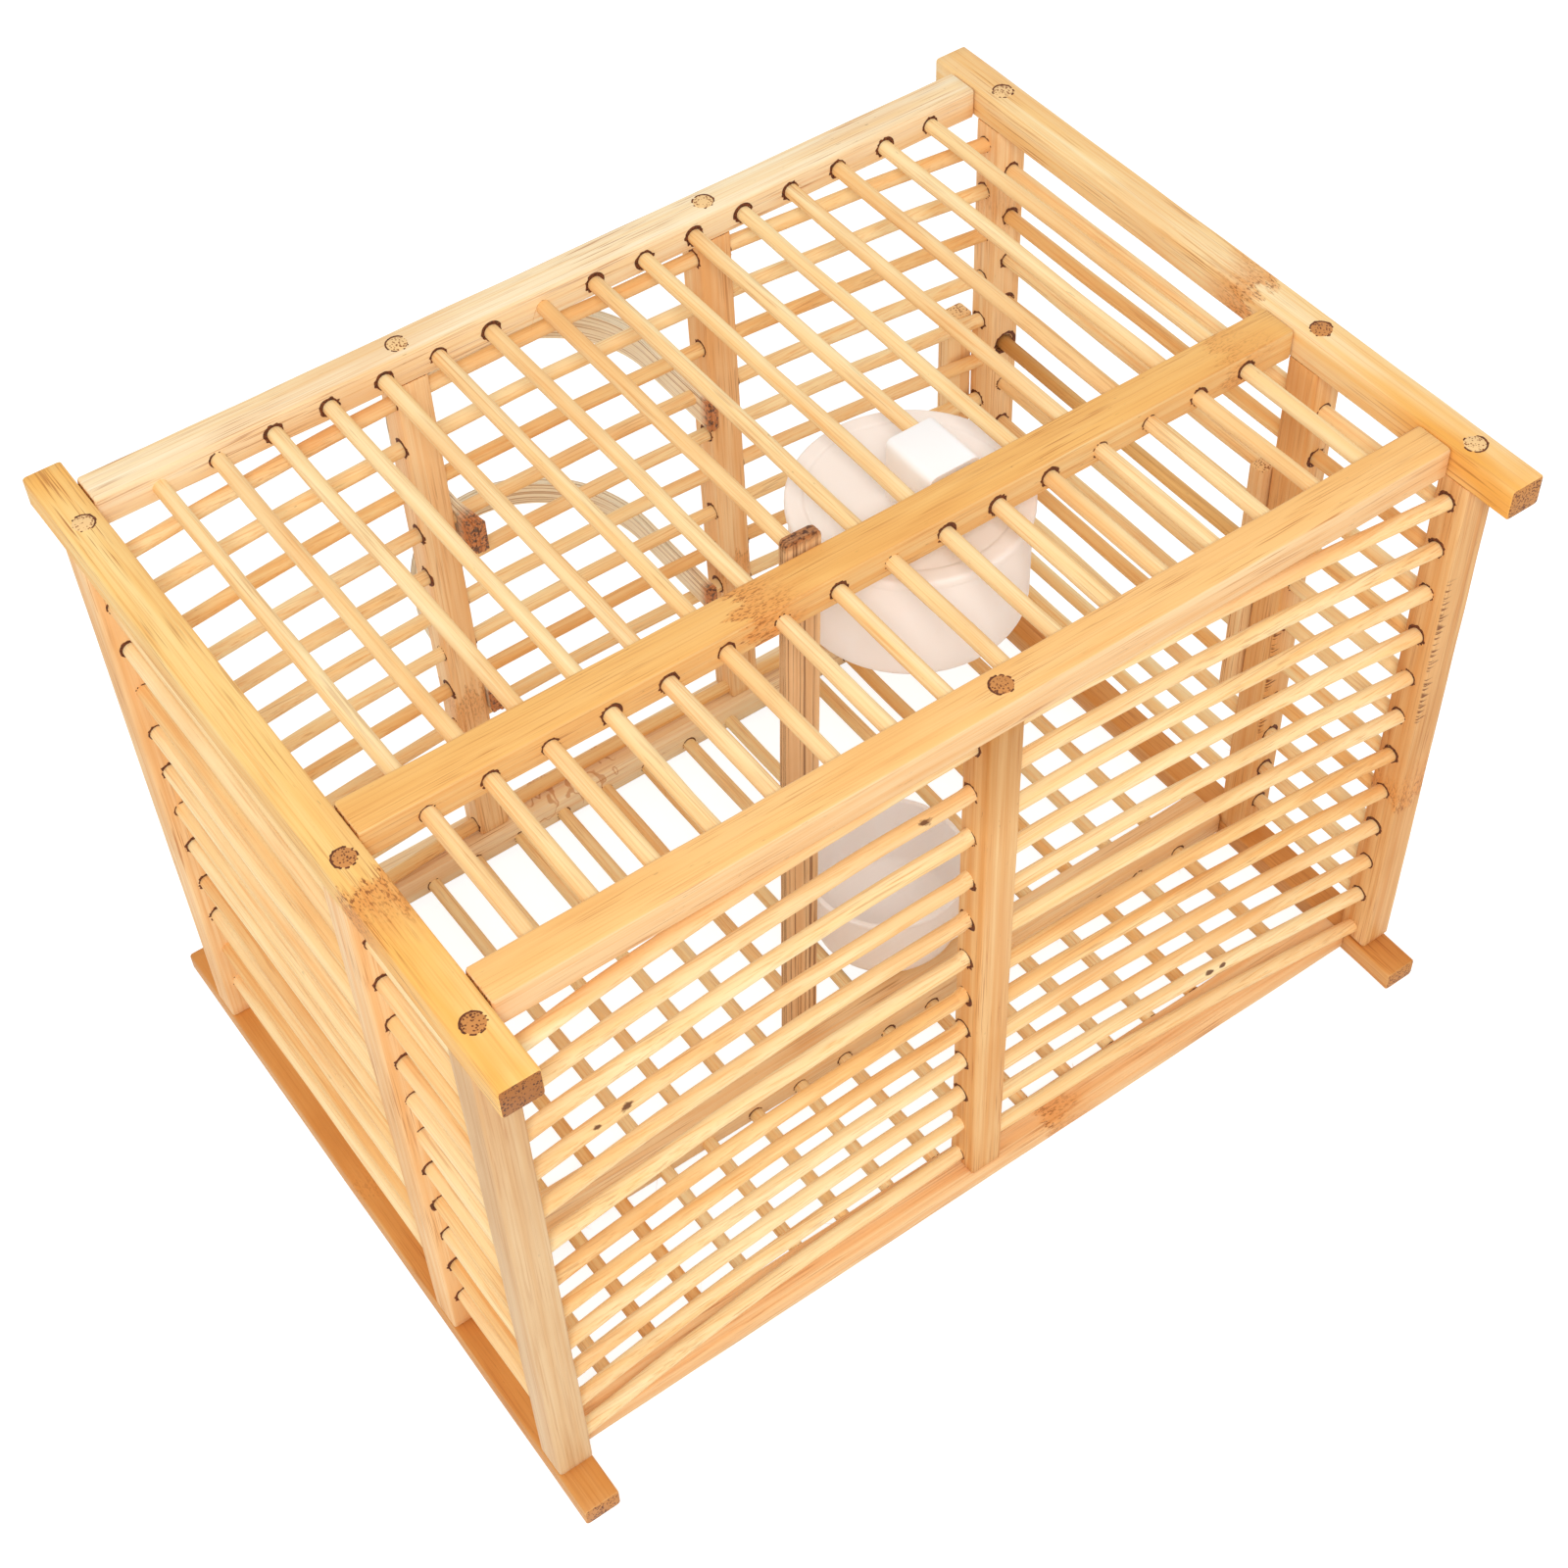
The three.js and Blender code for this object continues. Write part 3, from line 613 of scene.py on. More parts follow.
def make_rails():
    looks = {
        "front_top_rail": (FRONT_RAIL, {"specks": 0.4}),
        "middle_top_rail": (MIDDLE_RAIL, {"bands": ((-0.041, 1.0, 1), (0.146, 0.5, 1)), "specks": 0.6}),
        "back_top_rail": (BACK_RAIL, {"specks": 0.6}),
        "front_bottom_rail": (SILL, {"bands": ((0.028, 0.9, 1),)}),
        "middle_bottom_rail": (MIDDLE_SILL, {}),
        # The back bottom rail takes the pale back-rail tones to make up for its shade inside the cage:
        # painted light
        "back_bottom_rail": (BACK_RAIL, {"waterline": (-0.046, -0.002)}),
    }
    slots = {"middle_top_rail": "deep_bamboo", "middle_bottom_rail": "dowel_bamboo"}
    for seed, (node, (tones, look)) in enumerate(looks.items()):
        low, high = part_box(node)
        low.x, high.x = -INNER_X + JOINT_GAP, INNER_X - JOINT_GAP
        if node == "middle_bottom_rail":
            low.y, high.y = MIDDLE_SILL_Y
        slot = slots.get(node, "pale_bamboo")
        tenon = TENON_LENGTH if "top" in node else 0.0
        bevels = (RAIL_BEVEL, RAIL_BEVEL)
        stick(node, "x", low, high, tones, 20 + seed, slot, look, bevels=bevels, tenon=tenon)


# Posts
def post_limits(x, y, base):
    low = Vector((x - POST_HALF, y - POST_HALF, base))
    return low, Vector((x + POST_HALF, y + POST_HALF, TOP_BAR_LOW_Z))


def make_posts():
    # Each post's tones and look, and the bevel of its foot
    looks = {
        "front_left_post": (PALE_POST, {"dashes": 0.35}, 2.8 * MM),
        "front_right_post": (RIGHT_POST, {
            "bands": ((0.093, 0.9, 1),), "teeth": (END_WALL_X - POST_HALF, 0.137, 0.209)}, 2.8 * MM),
        "back_left_post": (POST, {}, END_BEVEL),
        "back_right_post": (POST, {"bands": ((0.21, 0.3, 1),)}, END_BEVEL),
        "middle_left_post": (POST, {}, 1.5 * MM),
        "middle_right_post": (CENTRE, {
            "specks": 0.6, "teeth": (END_WALL_X - POST_HALF, 0.07, 0.135)}, END_BEVEL),
    }
    for seed, (node, (tones, look, foot)) in enumerate(looks.items()):
        limits = post_limits(*END_POSTS[node], FOOT_TOP_Z)
        piece = stick(node, "z", *limits, tones, 40 + seed, "pale_bamboo", look, bevels=(foot, END_BEVEL))
        if node == "back_right_post":
            cut_loose_hole(piece)
    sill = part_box("front_bottom_rail")[1].z
    # The centre post is painted darker brown towards its top, under the rail
    stick("front_centre_post", "z", *post_limits(*CENTRE_POST, sill), CENTRE, 50, "deep_bamboo",
          {"specks": 0.5, "stain": (0.2, 0.246)})
    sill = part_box("back_bottom_rail")[1].z
    for seed, (node, (x, y)) in enumerate(BACK_POSTS.items()):
        stick(node, "z", *post_limits(x, y, sill), POST, 51 + seed, "pale_bamboo",
              {"bands": ((0.096, 0.6, -1),)})


def cut_loose_hole(post):
    """The worn hole that the loose dowel slides through."""
    run = along_y(END_WALL_X, LOOSE_Z, BACK_ROW_Y - 4 * POST_HALF, BACK_ROW_Y + 4 * POST_HALF)
    drill = new_object("drill", rod_mesh("drill", run, LOOSE_HOLE_RADIUS, 3, sides=20))
    cut = post.modifiers.new("hole", "BOOLEAN")
    cut.operation = "DIFFERENCE"
    cut.object = drill
    cut.solver = "EXACT"
    bpy.context.view_layer.update()
    drilled = bpy.data.meshes.new_from_object(post.evaluated_get(bpy.context.evaluated_depsgraph_get()))
    post.modifiers.clear()
    post.data = drilled
    bpy.data.objects.remove(drill)


# Dark marks on the front dowels of some levels: place along the dowel, and reach
DOWEL_SPOTS = {
    1: (mm(-25, 2.0),),
    3: (mm(-149, 1.3), mm(-138, 1.8)),
    10: (mm(104, 1.5), mm(110, 1.1)),
}


def spots_on(level):
    """The marks of one front dowel, on the side that faces forward and up."""
    surface = Vector((0, -0.7, 0.7)) * DOWEL_RADIUS
    return tuple((*(front_point(level, x) + surface), reach) for x, reach in DOWEL_SPOTS.get(level, ()))


def dowel(name, points, seed, axis, node=None, tones=None, look=None, body="cage"):
    tones = tones or (DEEP_DOWEL if random.Random(seed).random() < 0.15 else DOWEL)
    look = {"dashes": 0.32, **(look or {})}
    mesh = rod_mesh(name, points, DOWEL_RADIUS, seed)
    piece = finish_mesh(name, mesh, bamboo_for(tones, axis, **look), body)
    if node:
        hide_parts(node)


def roof_place(index):
    """A roof dowel's place across the cage and above the ground."""
    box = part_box(f"top_dowel_{index + 1:02d}")
    return (box[0].x + box[1].x) / 2, box[0].z + DOWEL_RADIUS


def floor_x(index):
    return FLOOR_FIRST_X + DOWEL_PITCH * index + jitter("floor", index)


def make_dowels():
    floor_low, floor_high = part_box("middle_bottom_rail")
    for index in range(LONG_DOWELS):
        node = f"top_dowel_{index + 1:02d}"
        low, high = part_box(node)
        dowel(f"{node}_wood", along_y(*roof_place(index), low.y, high.y), index, "y", node, DOWEL)
        run = along_y(floor_x(index), FLOOR_DOWEL_Z, floor_low.y, floor_high.y)
        dowel(f"floor_dowel_{index + 1:02d}_wood", run, 30 + index, "y")
    half = END_WALL_X - 1 * MM
    stations = [point.x for point in straight(Vector((-half, 0, 0)), Vector((half, 0, 0)), 6.5 * MM)]
    for level in range(WALL_LEVELS):
        node = f"front_dowel_{level + 1:02d}"
        dowel(f"{node}_wood", [front_point(level, x) for x in stations], 60 + level, "x", node,
              look={"spots": spots_on(level)})
        dowel(f"back_dowel_{level + 1:02d}_wood", [back_point(level, x) for x in stations], 80 + level, "x")
    for word, side in (("left", -1), ("right", 1)):
        for level in range(END_LEVELS):
            stop = MIDDLE_ROW_Y if side > 0 and level == LOOSE_LEVEL else BACK_ROW_Y
            run = along_y(side * END_WALL_X, end_z(side, level), FRONT_ROW_Y, stop)
            dowel(f"{word}_end_dowel_{level + 1:02d}_wood", run, 100 + level + 20 * side, "y")
    low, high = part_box("loose_wall_dowel")
    dowel("loose_dowel_wood", along_y(END_WALL_X, LOOSE_Z, low.y, high.y), 150, "y",
          "loose_wall_dowel", LOOSE_DOWEL, {"stain": (0.01, 0.07)}, "loose_dowel")


# Round tenon ends that show as pins in the bars and rails
def make_pins():
    bars = (
        (-END_WALL_X, LEFT_BAR, (DARK_PIN_END, DARK_PIN_END, PIN_END)),
        (END_WALL_X, RIGHT_BAR, (PIN_END, DARK_PIN_END, PIN_END)))
    rows = (FRONT_ROW_Y, MIDDLE_ROW_Y, BACK_ROW_Y)
    places = [(x, y, tones, end) for x, tones, ends in bars for y, end in zip(rows, ends)]
    places.append((*CENTRE_PIN, FRONT_RAIL, DARK_PIN_END))
    places += [(x, y, BACK_RAIL, PIN_END) for x, y in BACK_POSTS.values()]
    for index, (x, y, tones, end) in enumerate(places):
        name = f"pin_{index + 1:02d}"
        rings = []
        # Heights of the rings, and how far each is drawn in
        for z, shrink in ((ROOF_Z - 3 * MM, 0.0), (ROOF_Z - 0.1 * MM, 0.0), (ROOF_Z + 0.06 * MM, 0.3 * MM)):
            ring = []
            for angle in turns(PIN_SIDES):
                uneven = 0.14 * MM * wobble(cos(angle) * 2, sin(angle) * 2, index * 5)
                reach = PIN_RADIUS - shrink + uneven
                ring.append(Vector((x + reach * cos(angle), y + reach * sin(angle), z)))
            rings.append(ring)
        finish_mesh(name, loft(name, rings), bamboo_for(tones, "z", end=end), "cage")
        draw = random.Random(300 + index)
        # A broken dark ring round the pin: a torn rim with painted shade of the gap round it
        lip_and_gap_shade_piece(f"{name}_lip", [Hole(Vector((x, y, ROOF_Z)), UP, PIN_RADIUS, 0.32)], draw, 0.05 * MM)


# Torn lips with painted shade of the gap round each dowel, and fibres, where dowels enter drilled holes
Hole = namedtuple("Hole", "centre normal radius tear", defaults=(DOWEL_RADIUS, 1.0))
LIP_AND_GAP_SHADE_POINTS = 32

# The sides along the depth on which dowels enter each row of posts and rails
WAYS = {"front": (1,), "middle": (-1, 1), "back": (-1,)}


def across(normal):
    """Two directions square to a normal, the second one as near to upward as it can be."""
    start = UP if abs(normal.z) < 0.9 else Vector((0, 1, 0))
    first = normal.cross(start).normalized()
    return first, first.cross(normal)


def lip_and_gap_shade_piece(name, holes, draw, proud=0.1 * MM):
    """One mesh with the dark crescent of each hole, a torn rim and painted shade in one, widest where the
    dowel leaves a gap.
    """
    points, faces = [], []
    for centre, normal, radius, tear in holes:
        side, up = across(normal)
        # Each crescent is widest near its upward side, where the gap round the dowel is in shade; that part
        # is painted shade
        lean = draw.gauss(pi / 2, 0.9)
        phase = draw.uniform(0, 50)
        base = len(points)
        for angle in turns(LIP_AND_GAP_SHADE_POINTS):
            out = side * cos(angle) + up * sin(angle)
            jag = 0.5 + 0.5 * wobble(cos(angle) * 2.6, sin(angle) * 2.6, phase)
            lobe = (0.5 + 0.5 * cos(angle - lean)) ** 2
            spike = draw.random() ** 3
            width = min(1.35, 0.12 + tear * (0.75 * lobe + 0.45 * jag + 1.0 * spike)) * MM
            lift = proud if width > 0.3 * MM else -0.25 * MM
            points.append(centre + out * (radius - 0.5 * MM) - normal * 0.4 * MM)
            points.append(centre + out * (radius - 0.1 * MM) + normal * lift * 0.4)
            points.append(centre + out * (radius + width) + normal * lift)
            points.append(centre + out * (radius + width + 0.1 * MM) - normal * 0.6 * MM)
        for i in range(LIP_AND_GAP_SHADE_POINTS):
            j = (i + 1) % LIP_AND_GAP_SHADE_POINTS
            for k in range(4):
                m = (k + 1) % 4
                faces.append((base + 4 * i + k, base + 4 * j + k, base + 4 * j + m, base + 4 * i + m))
    finish_mesh(name, new_mesh(name, points, faces), LIP_AND_GAP_SHADE_MATERIAL, "cage", 60)


FIBRE_MARGIN = 0.3 * MM


def add_fibre(points, faces, root, lean, curl, length, thick):
    """A tapered, curved fibre of four stations."""
    first, second = across(lean)
    base = len(points)
    shares = (0.0, 0.35, 0.7, 1.0)
    for share in shares:
        spot = root + lean * length * share + curl * share ** 2
        spot = Vector(
            min(max(spot[i], cad_low[i] + FIBRE_MARGIN), cad_high[i] - FIBRE_MARGIN) for i in range(3))
        reach = thick * (1 - 0.8 * share)
        for turn in turns(3):
            points.append(spot + (first * cos(turn) + second * sin(turn)) * reach)
    for step in range(len(shares) - 1):
        row, above = base + 3 * step, base + 3 * step + 3
        for i in range(3):
            j = (i + 1) % 3
            faces.append((row + i, row + j, above + j, above + i))
    faces.append((base + 2, base + 1, base))
    tip = base + 3 * (len(shares) - 1)
    faces.append((tip, tip + 1, tip + 2))


def fibre_piece(name, holes, draw, share=0.4):
    """Thin fibres that stand out of some of the holes, a few of them long hairs."""
    points, faces = [], []
    for centre, normal, radius, _ in holes:
        if draw.random() > share:
            continue
        side, up = across(normal)
        for _ in range(draw.randint(1, 4)):
            angle = draw.uniform(0, 2 * pi)
            out = side * cos(angle) + up * sin(angle)
            root = centre + out * (radius + 0.1 * MM) - normal * 0.2 * MM
            lean = (out * draw.uniform(0.2, 1.2) + normal * draw.uniform(0.3, 1.0)).normalized()
            hair = draw.random() < 0.12
            length = draw.uniform(5, 9) * MM if hair else draw.uniform(0.8, 2.6) * MM
            thick = (0.09 if hair else draw.uniform(0.08, 0.17)) * MM
            curl = out.cross(normal) * draw.uniform(-0.6, 0.6) * length
            add_fibre(points, faces, root, lean, curl, length, thick)
    if faces:
        finish_mesh(name, new_mesh(name, points, faces), STRAW_MATERIAL, "cage", 60)


def hole_lists():
    """Every place where a dowel enters wood, grouped by the piece that it enters."""
    lists = {}
    for node, (x, y) in END_POSTS.items():
        side = 1 if x > 0 else -1
        holes = []
        if not node.startswith("middle"):
            point_on = front_point if node.startswith("front") else back_point
            face = x - side * POST_HALF
            holes += [Hole(point_on(level, face), Vector((-side, 0, 0))) for level in range(WALL_LEVELS)]
        for way in WAYS[node.split("_")[0]]:
            for level in range(END_LEVELS):
                loose = side > 0 and level == LOOSE_LEVEL and y > MIDDLE_ROW_Y
                radius = LOOSE_HOLE_RADIUS if loose else DOWEL_RADIUS
                place = Vector((x, y + way * POST_HALF, end_z(side, level)))
                holes.append(Hole(place, Vector((0, way, 0)), radius))
        lists[node] = holes
    wall_posts = {"front_centre_post": (front_point, 0.0)}
    wall_posts.update({node: (back_point, x) for node, (x, _) in BACK_POSTS.items()})
    for node, (point_on, x) in wall_posts.items():
        lists[node] = [
            Hole(point_on(level, x + way * POST_HALF), Vector((way, 0, 0)))
            for level in range(WALL_LEVELS) for way in (-1, 1)]
    for word, ways in WAYS.items():
        low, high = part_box(f"{word}_top_rail")
        lists[f"{word}_top_rail"] = [
            Hole(Vector((x, high.y if way > 0 else low.y, z)), Vector((0, way, 0)), tear=1.25)
            for x, z in map(roof_place, range(LONG_DOWELS)) for way in ways]
        low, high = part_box(f"{word}_bottom_rail")
        if word == "middle":
            low.y, high.y = MIDDLE_SILL_Y
        # The floor dowels' crescents are kept small: mostly painted shade where they enter the bottom rails
        lists[f"{word}_bottom_rail"] = [
            Hole(Vector((x, high.y if way > 0 else low.y, FLOOR_DOWEL_Z)), Vector((0, way, 0)), tear=0.35)
            for x in map(floor_x, range(LONG_DOWELS)) for way in ways]
    return lists


def make_lips_and_gap_shade():
    # Every hole gets a dark crescent, torn rim and painted shade in one, and some holes get fibres
    for seed, (node, holes) in enumerate(hole_lists().items()):
        draw = random.Random(500 + seed)
        varied = [hole._replace(tear=hole.tear * draw.uniform(0.05, 1.4)) for hole in holes]
        lip_and_gap_shade_piece(f"{node}_lips", varied, draw)
        fibre_piece(f"{node}_fibres", holes, draw)


# Hoops of laminated bamboo
HOOP_LAYERS = 4
HOOP_THICKNESS = 4.2 * MM
HOOP_END_SWELL = 0.48
HOOP_END_LENGTH = 14 * MM
HOOP_LEG_STEPS = 12
HOOP_TURN_STEPS = 40
# Where the corners of a layer's section lie across its map, and the step to the next layer
HOOP_MAP = (0.0, 0.001, 0.002, 0.003, 0.017, 0.018, 0.019, 0.020)
HOOP_MAP_STEP = 0.05
Hoop = namedtuple("Hoop", "x half_width depth arc_y left_end right_end dark_length")
HOOPS = {
    "upper_hoop": Hoop(*mm(-0.4, 52.9, 51, 277, 230.5, 232.5, 13)),
    "lower_hoop": Hoop(*mm(-4.7, 49.5, 56.7, 279, 235.8, 230, 4)),
}


def hoop_path(hoop):
    """Points of the outer face, from the left leg's end round to the right leg's end."""
    arc_y = FRONT_ROW_Y + hoop.arc_y
    left, right = FRONT_ROW_Y + hoop.left_end, FRONT_ROW_Y + hoop.right_end
    places = [(-1.0, left + (arc_y - left) * i / HOOP_LEG_STEPS) for i in range(HOOP_LEG_STEPS)]
    for i in range(HOOP_TURN_STEPS + 1):
        angle = pi * (1 - i / HOOP_TURN_STEPS)
        places.append((cos(angle), arc_y + hoop.depth * sin(angle)))
    places += [(1.0, arc_y + (right - arc_y) * i / HOOP_LEG_STEPS) for i in range(1, HOOP_LEG_STEPS + 1)]
    return [Vector((hoop.x + hoop.half_width * share, y, 0)) for share, y in places]


def make_hoop(node, seed):
    hoop = HOOPS[node]
    low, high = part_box(node)
    path = hoop_path(hoop)
    lengths = [0.0]
    for a, b in zip(path, path[1:]):
        lengths.append(lengths[-1] + (b - a).length)
    dark = ((hoop.dark_length, 0.4 * hoop.dark_length), (lengths[-1] - 7 * MM, lengths[-1] - 2 * MM))
    # The hoops' tones are raised to make up for the shade they stand in: painted light
    material = laminated(f"{node}_bamboo", rgb("fef0d2"), rgb("fce6c0"), rgb("be8a58"),
                         rgb("cc7a3a"), dark)
    thick = HOOP_THICKNESS / HOOP_LAYERS
    for layer in range(HOOP_LAYERS):
        draw = random.Random(700 + 10 * seed + layer)
        top = high.z - draw.uniform(0.0, 0.6) * MM
        bottom = low.z + draw.uniform(0.0, 0.6) * MM
        setback = draw.uniform(0.0, 1.3) * MM
        rings = []
        for row, point in enumerate(path):
            tangent = tangent_at(path, row)
            inward = Vector((tangent.y, -tangent.x, 0))
            swell = 1 + HOOP_END_SWELL * max(0.0, 1 - lengths[row] / HOOP_END_LENGTH)
            middle = thick * swell * (layer + 0.5)
            half = thick * swell / 2 - LAYER_GAP
            point = point + tangent * {0: setback, len(path) - 1: -setback}.get(row, 0.0)
            rough = 0.2 * MM * (0.5 + 0.5 * wobble(row * 0.4, layer * 5.0, seed * 9.0))
            edge = 0.22 * MM
            section = (
                (-half, bottom + edge), (-half + edge, bottom + rough), (half - edge, bottom + rough),
                (half, bottom + edge), (half, top - edge), (half - edge, top - rough),
                (-half + edge, top - rough), (-half, top - edge))
            rings.append([Vector((point.x, point.y, z)) + inward * (middle + out) for out, z in section])
        name = f"{node}_layer_{layer + 1}"
        mesh = loft(name, rings, lambda row, i: (lengths[row], HOOP_MAP[i] + layer * HOOP_MAP_STEP))
        piece = finish_mesh(name, mesh, material, "cage")
        if layer == 0:
            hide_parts(node)


# The strip that hangs behind the middle rails
STRIP_LAYERS = 3
STRIP_TILT = radians(2.1)
STRIP_TOP = 11.4 * MM
STRIP_BOTTOM = -239.0 * MM
STRIP_MIDDLE = -1.8 * MM
STRIP_HALF = 7.0 * MM
STRIP_CROWN = 3 * MM
STRIP_WAVE = 0.12 * MM
STRIP_DOWEL_INDEX = 7
STRIP_MAP = (0.0, 0.014, 0.0145, 0.0155, 0.016, 0.030, 0.0305, 0.0315)
STRIP_MAP_STEP = 0.07


def make_strip():
    x, z = roof_place(STRIP_DOWEL_INDEX)
    pivot = Vector((x, 0, z))
    low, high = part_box("turning_strip")
    thick = (high.y - low.y) / STRIP_LAYERS
    length = STRIP_TOP - STRIP_BOTTOM
    material = laminated("strip_bamboo", rgb("f2ca98"), rgb("e2b07a"), rgb("84522e"),
                         rgb("b07040"), ((length - 4 * MM, length - 1 * MM),))
    turn = Matrix.Rotation(STRIP_TILT, 4, "Y")
    for layer in range(STRIP_LAYERS):
        depth = low.y + thick * (layer + 0.5)
        stations = [0.0, 0.5 * MM] + [length * i / 50 for i in range(1, 50)]
        stations += [length - STRIP_CROWN, length - STRIP_CROWN / 2, length - 0.5 * MM, length]
        stations.sort()
        rings = []
        for row, along in enumerate(stations):
            rounding = max(0.0, (along - length + STRIP_CROWN) / STRIP_CROWN)
            cut = 2.6 * MM * (1 - sqrt(max(0.0, 1 - rounding ** 2)))
            wave = STRIP_WAVE * wobble(row * 0.3, layer * 4.0, 2.0)
            left = STRIP_MIDDLE - STRIP_HALF + cut * 0.4 + STRIP_WAVE + wave
            right = STRIP_MIDDLE + STRIP_HALF - cut - STRIP_WAVE + wave
            out = thick / 2 - LAYER_GAP
            corner = 0.25 * MM
            section = (
                (left + corner, -out), (right - corner, -out), (right, -out + corner), (right, out - corner),
                (right - corner, out), (left + corner, out), (left, out - corner), (left, -out + corner))
            rings.append([
                turn @ Vector((u, 0, STRIP_BOTTOM + along)) + Vector((pivot.x, depth + v, pivot.z))
                for u, v in section])
        name = f"strip_layer_{layer + 1}"
        mesh = loft(name, rings, lambda row, i: (stations[row], STRIP_MAP[i] + layer * STRIP_MAP_STEP))
        piece = finish_mesh(name, mesh, material, "strip")
        if layer == 0:
            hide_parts("turning_strip")


def make_battens():
    for seed, node in enumerate(("outer_batten", "inner_batten")):
        stick(node, "z", *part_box(node), BATTEN, 90 + seed, "pale_bamboo", {"dashes": 0.8, "end": PIN_END})


# Plastic vessels
VESSEL_WALL = 2 * MM
BASE_RECESS = 0.8 * MM
LID_HEIGHT = 3.7 * MM
BOWL_FOOT_RADIUS = 17 * MM
BOWL_BELLY_RADIUS = 28 * MM
BOWL_FLOOR = 5.6 * MM

# The hook's strap, and its limits across, along and above the ground
HOOK_THICK = 2.0 * MM
HOOK_BEND = 3.0 * MM
HOOK_X = mm(38, 57.5)
HOOK_Y = (FRONT_ROW_Y + 90 * MM, FRONT_ROW_Y + 113 * MM)
HOOK_CREST = 258.7 * MM
HOOK_TIP = 246 * MM


def turned(name, profile, x, y, body, node, segments=72):
    """A vessel turned about its own axis."""
    made = bmesh.new()
    rings = []
    for radius, z in profile:
        if radius < 1e-6:
            rings.append([made.verts.new((x, y, z))])
            continue
        rings.append([
            made.verts.new((x + radius * cos(angle), y + radius * sin(angle), z))
            for angle in turns(segments)])
    for lower, upper in zip(rings, rings[1:]):
        for i in range(segments):
            j = (i + 1) % segments
            if len(lower) == 1:
                made.faces.new((lower[0], upper[i], upper[j]))
            elif len(upper) == 1:
                made.faces.new((lower[i], lower[j], upper[0]))
            else:
                made.faces.new((lower[i], lower[j], upper[j], upper[i]))
    bmesh.ops.recalc_face_normals(made, faces=made.faces)
    mesh = bpy.data.meshes.new(name)
    made.to_mesh(mesh)
    made.free()
    piece = finish_mesh(name, mesh, PLASTIC_MATERIAL, body, 50)
    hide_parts(node)


def fillet(corner, before, after, radius, steps=5):
    """Points that round a corner of a profile."""
    corner, before, after = Vector(corner), Vector(before), Vector(after)
    start = corner + (before - corner).normalized() * radius
    end = corner + (after - corner).normalized() * radius
    return [
        tuple(start * (1 - t) ** 2 + corner * 2 * t * (1 - t) + end * t ** 2)
        for t in (i / steps for i in range(steps + 1))]


def rounded_profile(corners):
    """A profile given as each corner's radius, height and, in millimetres, rounding."""
    points = []
    for i, (radius, z, rounding) in enumerate(corners):
        if rounding == 0:
            points.append((radius, z))
            continue
        before, after = corners[i - 1][:2], corners[i + 1][:2]
        points += fillet((radius, z), before, after, rounding * MM)
    return points


def make_pot():
    low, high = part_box("hanging_pot")
    x, y = (low.x + high.x) / 2, (low.y + high.y) / 2
    radius = (high.x - low.x) / 2
    inner = radius - VESSEL_WALL
    recess = low.z + BASE_RECESS
    turned("pot_shell", rounded_profile([
        (0, recess, 0), (radius * 0.62, recess, 0.6), (radius * 0.64, low.z, 0.5), (radius, low.z, 5),
        (radius, high.z, 0.5), (inner, high.z, 0.5), (inner, low.z + VESSEL_WALL, 4),
        (0, low.z + VESSEL_WALL, 0)]), x, y, "pot", "hanging_pot")
    low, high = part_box("pot_lid")
    radius = (high.x - low.x) / 2
    top = low.z + LID_HEIGHT
    turned("lid_cap", rounded_profile([
        (0, low.z + 0.1 * MM, 0), (radius, low.z + 0.1 * MM, 0.5), (radius, top, 1.6),
        (radius * 0.86, top, 0.8), (radius * 0.84, top - 0.5 * MM, 0.4), (0, top - 0.3 * MM, 0),
    ]), x, y, "pot", "pot_lid")
    make_hook(top)


def make_hook(top):
    """A square hook, bent from one strap, that straddles the roof dowel."""
    left, right = HOOK_X
    front, back = HOOK_Y
    foot = top - 1 * MM
    under = HOOK_CREST - HOOK_THICK
    corners = [
        (left, foot), (left, HOOK_CREST), (right, HOOK_CREST), (right, HOOK_TIP),
        (right - HOOK_THICK, HOOK_TIP), (right - HOOK_THICK, under),
        (left + HOOK_THICK, under), (left + HOOK_THICK, foot)]
    inner_bend = HOOK_BEND - HOOK_THICK
    rounding = {1: HOOK_BEND, 2: HOOK_BEND, 3: 1.0 * MM, 4: 1.0 * MM, 5: inner_bend, 6: inner_bend}
    outline = []
    for i, corner in enumerate(corners):
        before, after = corners[i - 1], corners[(i + 1) % len(corners)]
        outline += fillet(corner, before, after, rounding[i], 6) if i in rounding else [corner]
    centre = Vector(((left + right) / 2, (HOOK_TIP + HOOK_CREST) / 2))
    edge = 0.5 * MM
    rings = []
    for y, shrink in ((front, edge), (front + edge, 0), (back - edge, 0), (back, edge)):
        pulled = [Vector(point) - (Vector(point) - centre).normalized() * shrink * 0.5 for point in outline]
        rings.append([Vector((point.x, y, point.y)) for point in pulled])
    finish_mesh("pot_hook", loft("pot_hook", rings), PLASTIC_MATERIAL, "pot", 50)


def make_bowl():
    low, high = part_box("floor_bowl")
    x, y = (low.x + high.x) / 2, (low.y + high.y) / 2
    radius = (high.x - low.x) / 2
    base = low.z
    recess = base + BASE_RECESS
    turned("bowl_shell", rounded_profile([
        (0, recess, 0), (15.4 * MM, recess, 0.5), (15.8 * MM, base, 0.4), (BOWL_FOOT_RADIUS, base, 0.5),
        (BOWL_FOOT_RADIUS, base + 3.6 * MM, 0.8), (BOWL_BELLY_RADIUS, base + 12 * MM, 4),
        (radius - 0.4 * MM, high.z - 2.5 * MM, 0.5), (radius, high.z - 2 * MM, 0.4), (radius, high.z, 0.5),
        (radius - VESSEL_WALL, high.z, 0.5), (BOWL_BELLY_RADIUS - VESSEL_WALL, base + 13 * MM, 3),
        (16 * MM, base + BOWL_FLOOR, 1.0), (0, base + BOWL_FLOOR, 0)]), x, y, "bowl", "floor_bowl")


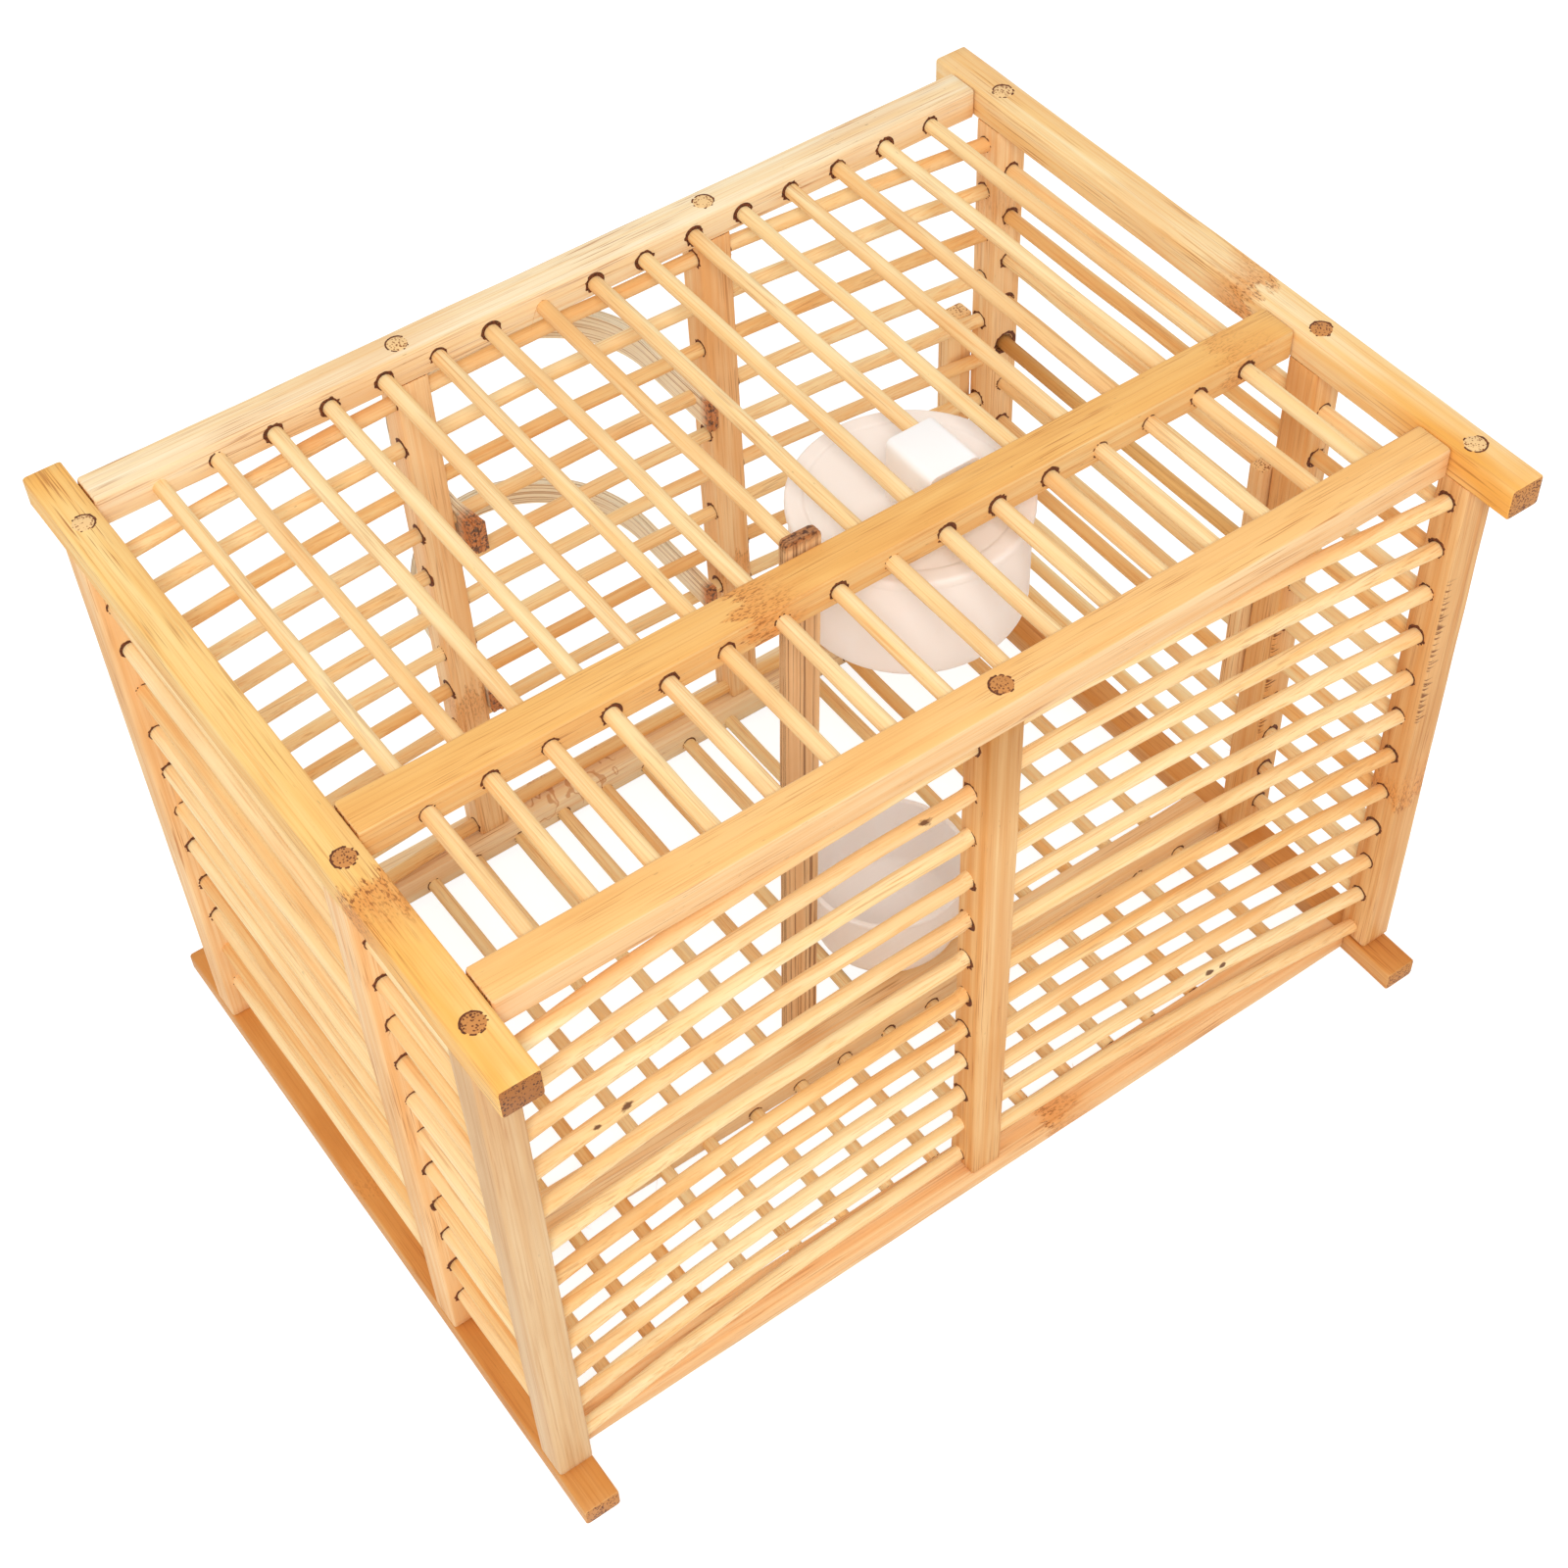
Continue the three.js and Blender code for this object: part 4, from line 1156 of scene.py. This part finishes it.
# Camera, light and floor
def make_camera():
    azimuth, elevation, roll = (radians(v) for v in (CAMERA_AZIMUTH, CAMERA_ELEVATION, CAMERA_ROLL))
    right = Vector((cos(azimuth), sin(azimuth), 0))
    level = cos(elevation)
    back = Vector((sin(azimuth) * level, -cos(azimuth) * level, sin(elevation)))
    up = back.cross(right)
    turned_right = right * cos(roll) - up * sin(roll)
    turned_up = right * sin(roll) + up * cos(roll)
    data = bpy.data.cameras.new("camera")
    data.sensor_width = SENSOR_MM
    data.lens = FOCAL_PX / PHOTO_WIDTH_PX * SENSOR_MM
    camera = new_object("camera", data)
    matrix = Matrix((turned_right, turned_up, back)).transposed().to_4x4()
    matrix.translation = CAMERA_PLACE
    camera.matrix_world = matrix
    bpy.context.scene.camera = camera


WORLD_STRENGTH = 0.765
WORLD_COLOR = (1.0, 0.995, 0.985, 1.0)
LAMP_AIM = Vector((0, 0, 0.13))
LAMP_DISTANCE = 1.8
LAMP_SIZE = 0.4
LAMP_POWER = 9.7
LAMP_COLOR = (1.0, 0.99, 0.97)
FLOOR_HALF = 3.0
FLOOR_DROP = 0.2 * MM
FLOOR_TONE = (0.95, 0.95, 0.95, 1.0)
FLOOR_GLOW = 0.82
SHADOW_TONE = (0.42, 0.42, 0.42, 1.0)


def seen_mask(tree):
    """Whether a ray comes straight from the camera, a gloss or a clear material."""
    path = tree.nodes.new("ShaderNodeLightPath")
    mask = path.outputs["Is Camera Ray"]
    for name in ("Is Glossy Ray", "Is Transmission Ray"):
        both = tree.nodes.new("ShaderNodeMath")
        both.operation = "MAXIMUM"
        tree.links.new(mask, both.inputs[0])
        tree.links.new(path.outputs[name], both.inputs[1])
        mask = both.outputs[0]
    return mask


def make_floor():
    """A pale floor that looks white, and still takes the cage's shadow."""
    mesh = bpy.data.meshes.new("floor")
    signs = ((-1, -1), (1, -1), (1, 1), (-1, 1))
    mesh.from_pydata([(a * FLOOR_HALF, b * FLOOR_HALF, 0) for a, b in signs], [], [(0, 1, 2, 3)])
    floor = new_object("floor", mesh)
    floor.location.z = -FLOOR_DROP
    s = Shader("floor", FLOOR_TONE)
    s.surface(0.9)
    s.bsdf.inputs["Specular IOR Level"].default_value = 0.0
    glow = s.node("ShaderNodeEmission", {"Strength": FLOOR_GLOW})
    veil = s.node("ShaderNodeBsdfDiffuse", {"Color": SHADOW_TONE})
    seen = s.node("ShaderNodeAddShader", {0: glow.outputs[0], 1: veil.outputs[0]})
    both = s.node("ShaderNodeMixShader", {0: seen_mask(s.tree), 1: s.bsdf.outputs[0], 2: seen.outputs[0]})
    s.tree.links.new(both.outputs[0], s.tree.nodes["Material Output"].inputs["Surface"])
    mesh.materials.append(s.material)


def make_lamp():
    """One soft lamp, on the line from the cage past the camera."""
    data = bpy.data.lights.new("key", "AREA")
    data.shape = "DISK"
    data.size = LAMP_SIZE
    data.energy = LAMP_POWER
    data.color = LAMP_COLOR
    lamp = new_object("key", data)
    lamp.location = LAMP_AIM + LAMP_DISTANCE * (CAMERA_PLACE - LAMP_AIM)
    lamp.rotation_euler = (LAMP_AIM - lamp.location).to_track_quat("-Z", "Y").to_euler()


def make_world():
    """An even light all round that the camera sees as white."""
    world = bpy.data.worlds.new("studio")
    bpy.context.scene.world = world
    world.use_nodes = True
    tree = world.node_tree
    backdrop = tree.nodes["Background"]
    backdrop.inputs["Color"].default_value = WORLD_COLOR
    strength = tree.nodes.new("ShaderNodeMapRange")
    tree.links.new(seen_mask(tree), strength.inputs["Value"])
    strength.inputs["To Min"].default_value = WORLD_STRENGTH
    strength.inputs["To Max"].default_value = 1.0
    tree.links.new(strength.outputs[0], backdrop.inputs["Strength"])


bpy.context.scene.view_settings.view_transform = "Standard"
# Dark torn wood for the hole rims, which also stands for the shade in the gaps round the dowels: painted
# shade
LIP_AND_GAP_SHADE_MATERIAL = torn("torn_lip_and_gap_shade", rgb("261006"), rgb("8c481c"),
                    scale=1600.0, detail=3.0, rough=0.7, roughness=0.8, bump=0.0003)
STRAW_MATERIAL = torn("torn_fibre", rgb("f0c888"), rgb("ce924e"),
                      scale=700.0, detail=2.0, rough=0.6, roughness=0.7, bump=0.0002)
PLASTIC_MATERIAL = plastic("white_plastic")
make_camera()
make_bars()
make_rails()
make_posts()
make_dowels()
make_pins()
make_lips_and_gap_shade()
make_hoop("upper_hoop", 1)
make_hoop("lower_hoop", 2)
make_strip()
make_battens()
make_pot()
make_bowl()
make_floor()
make_world()
make_lamp()
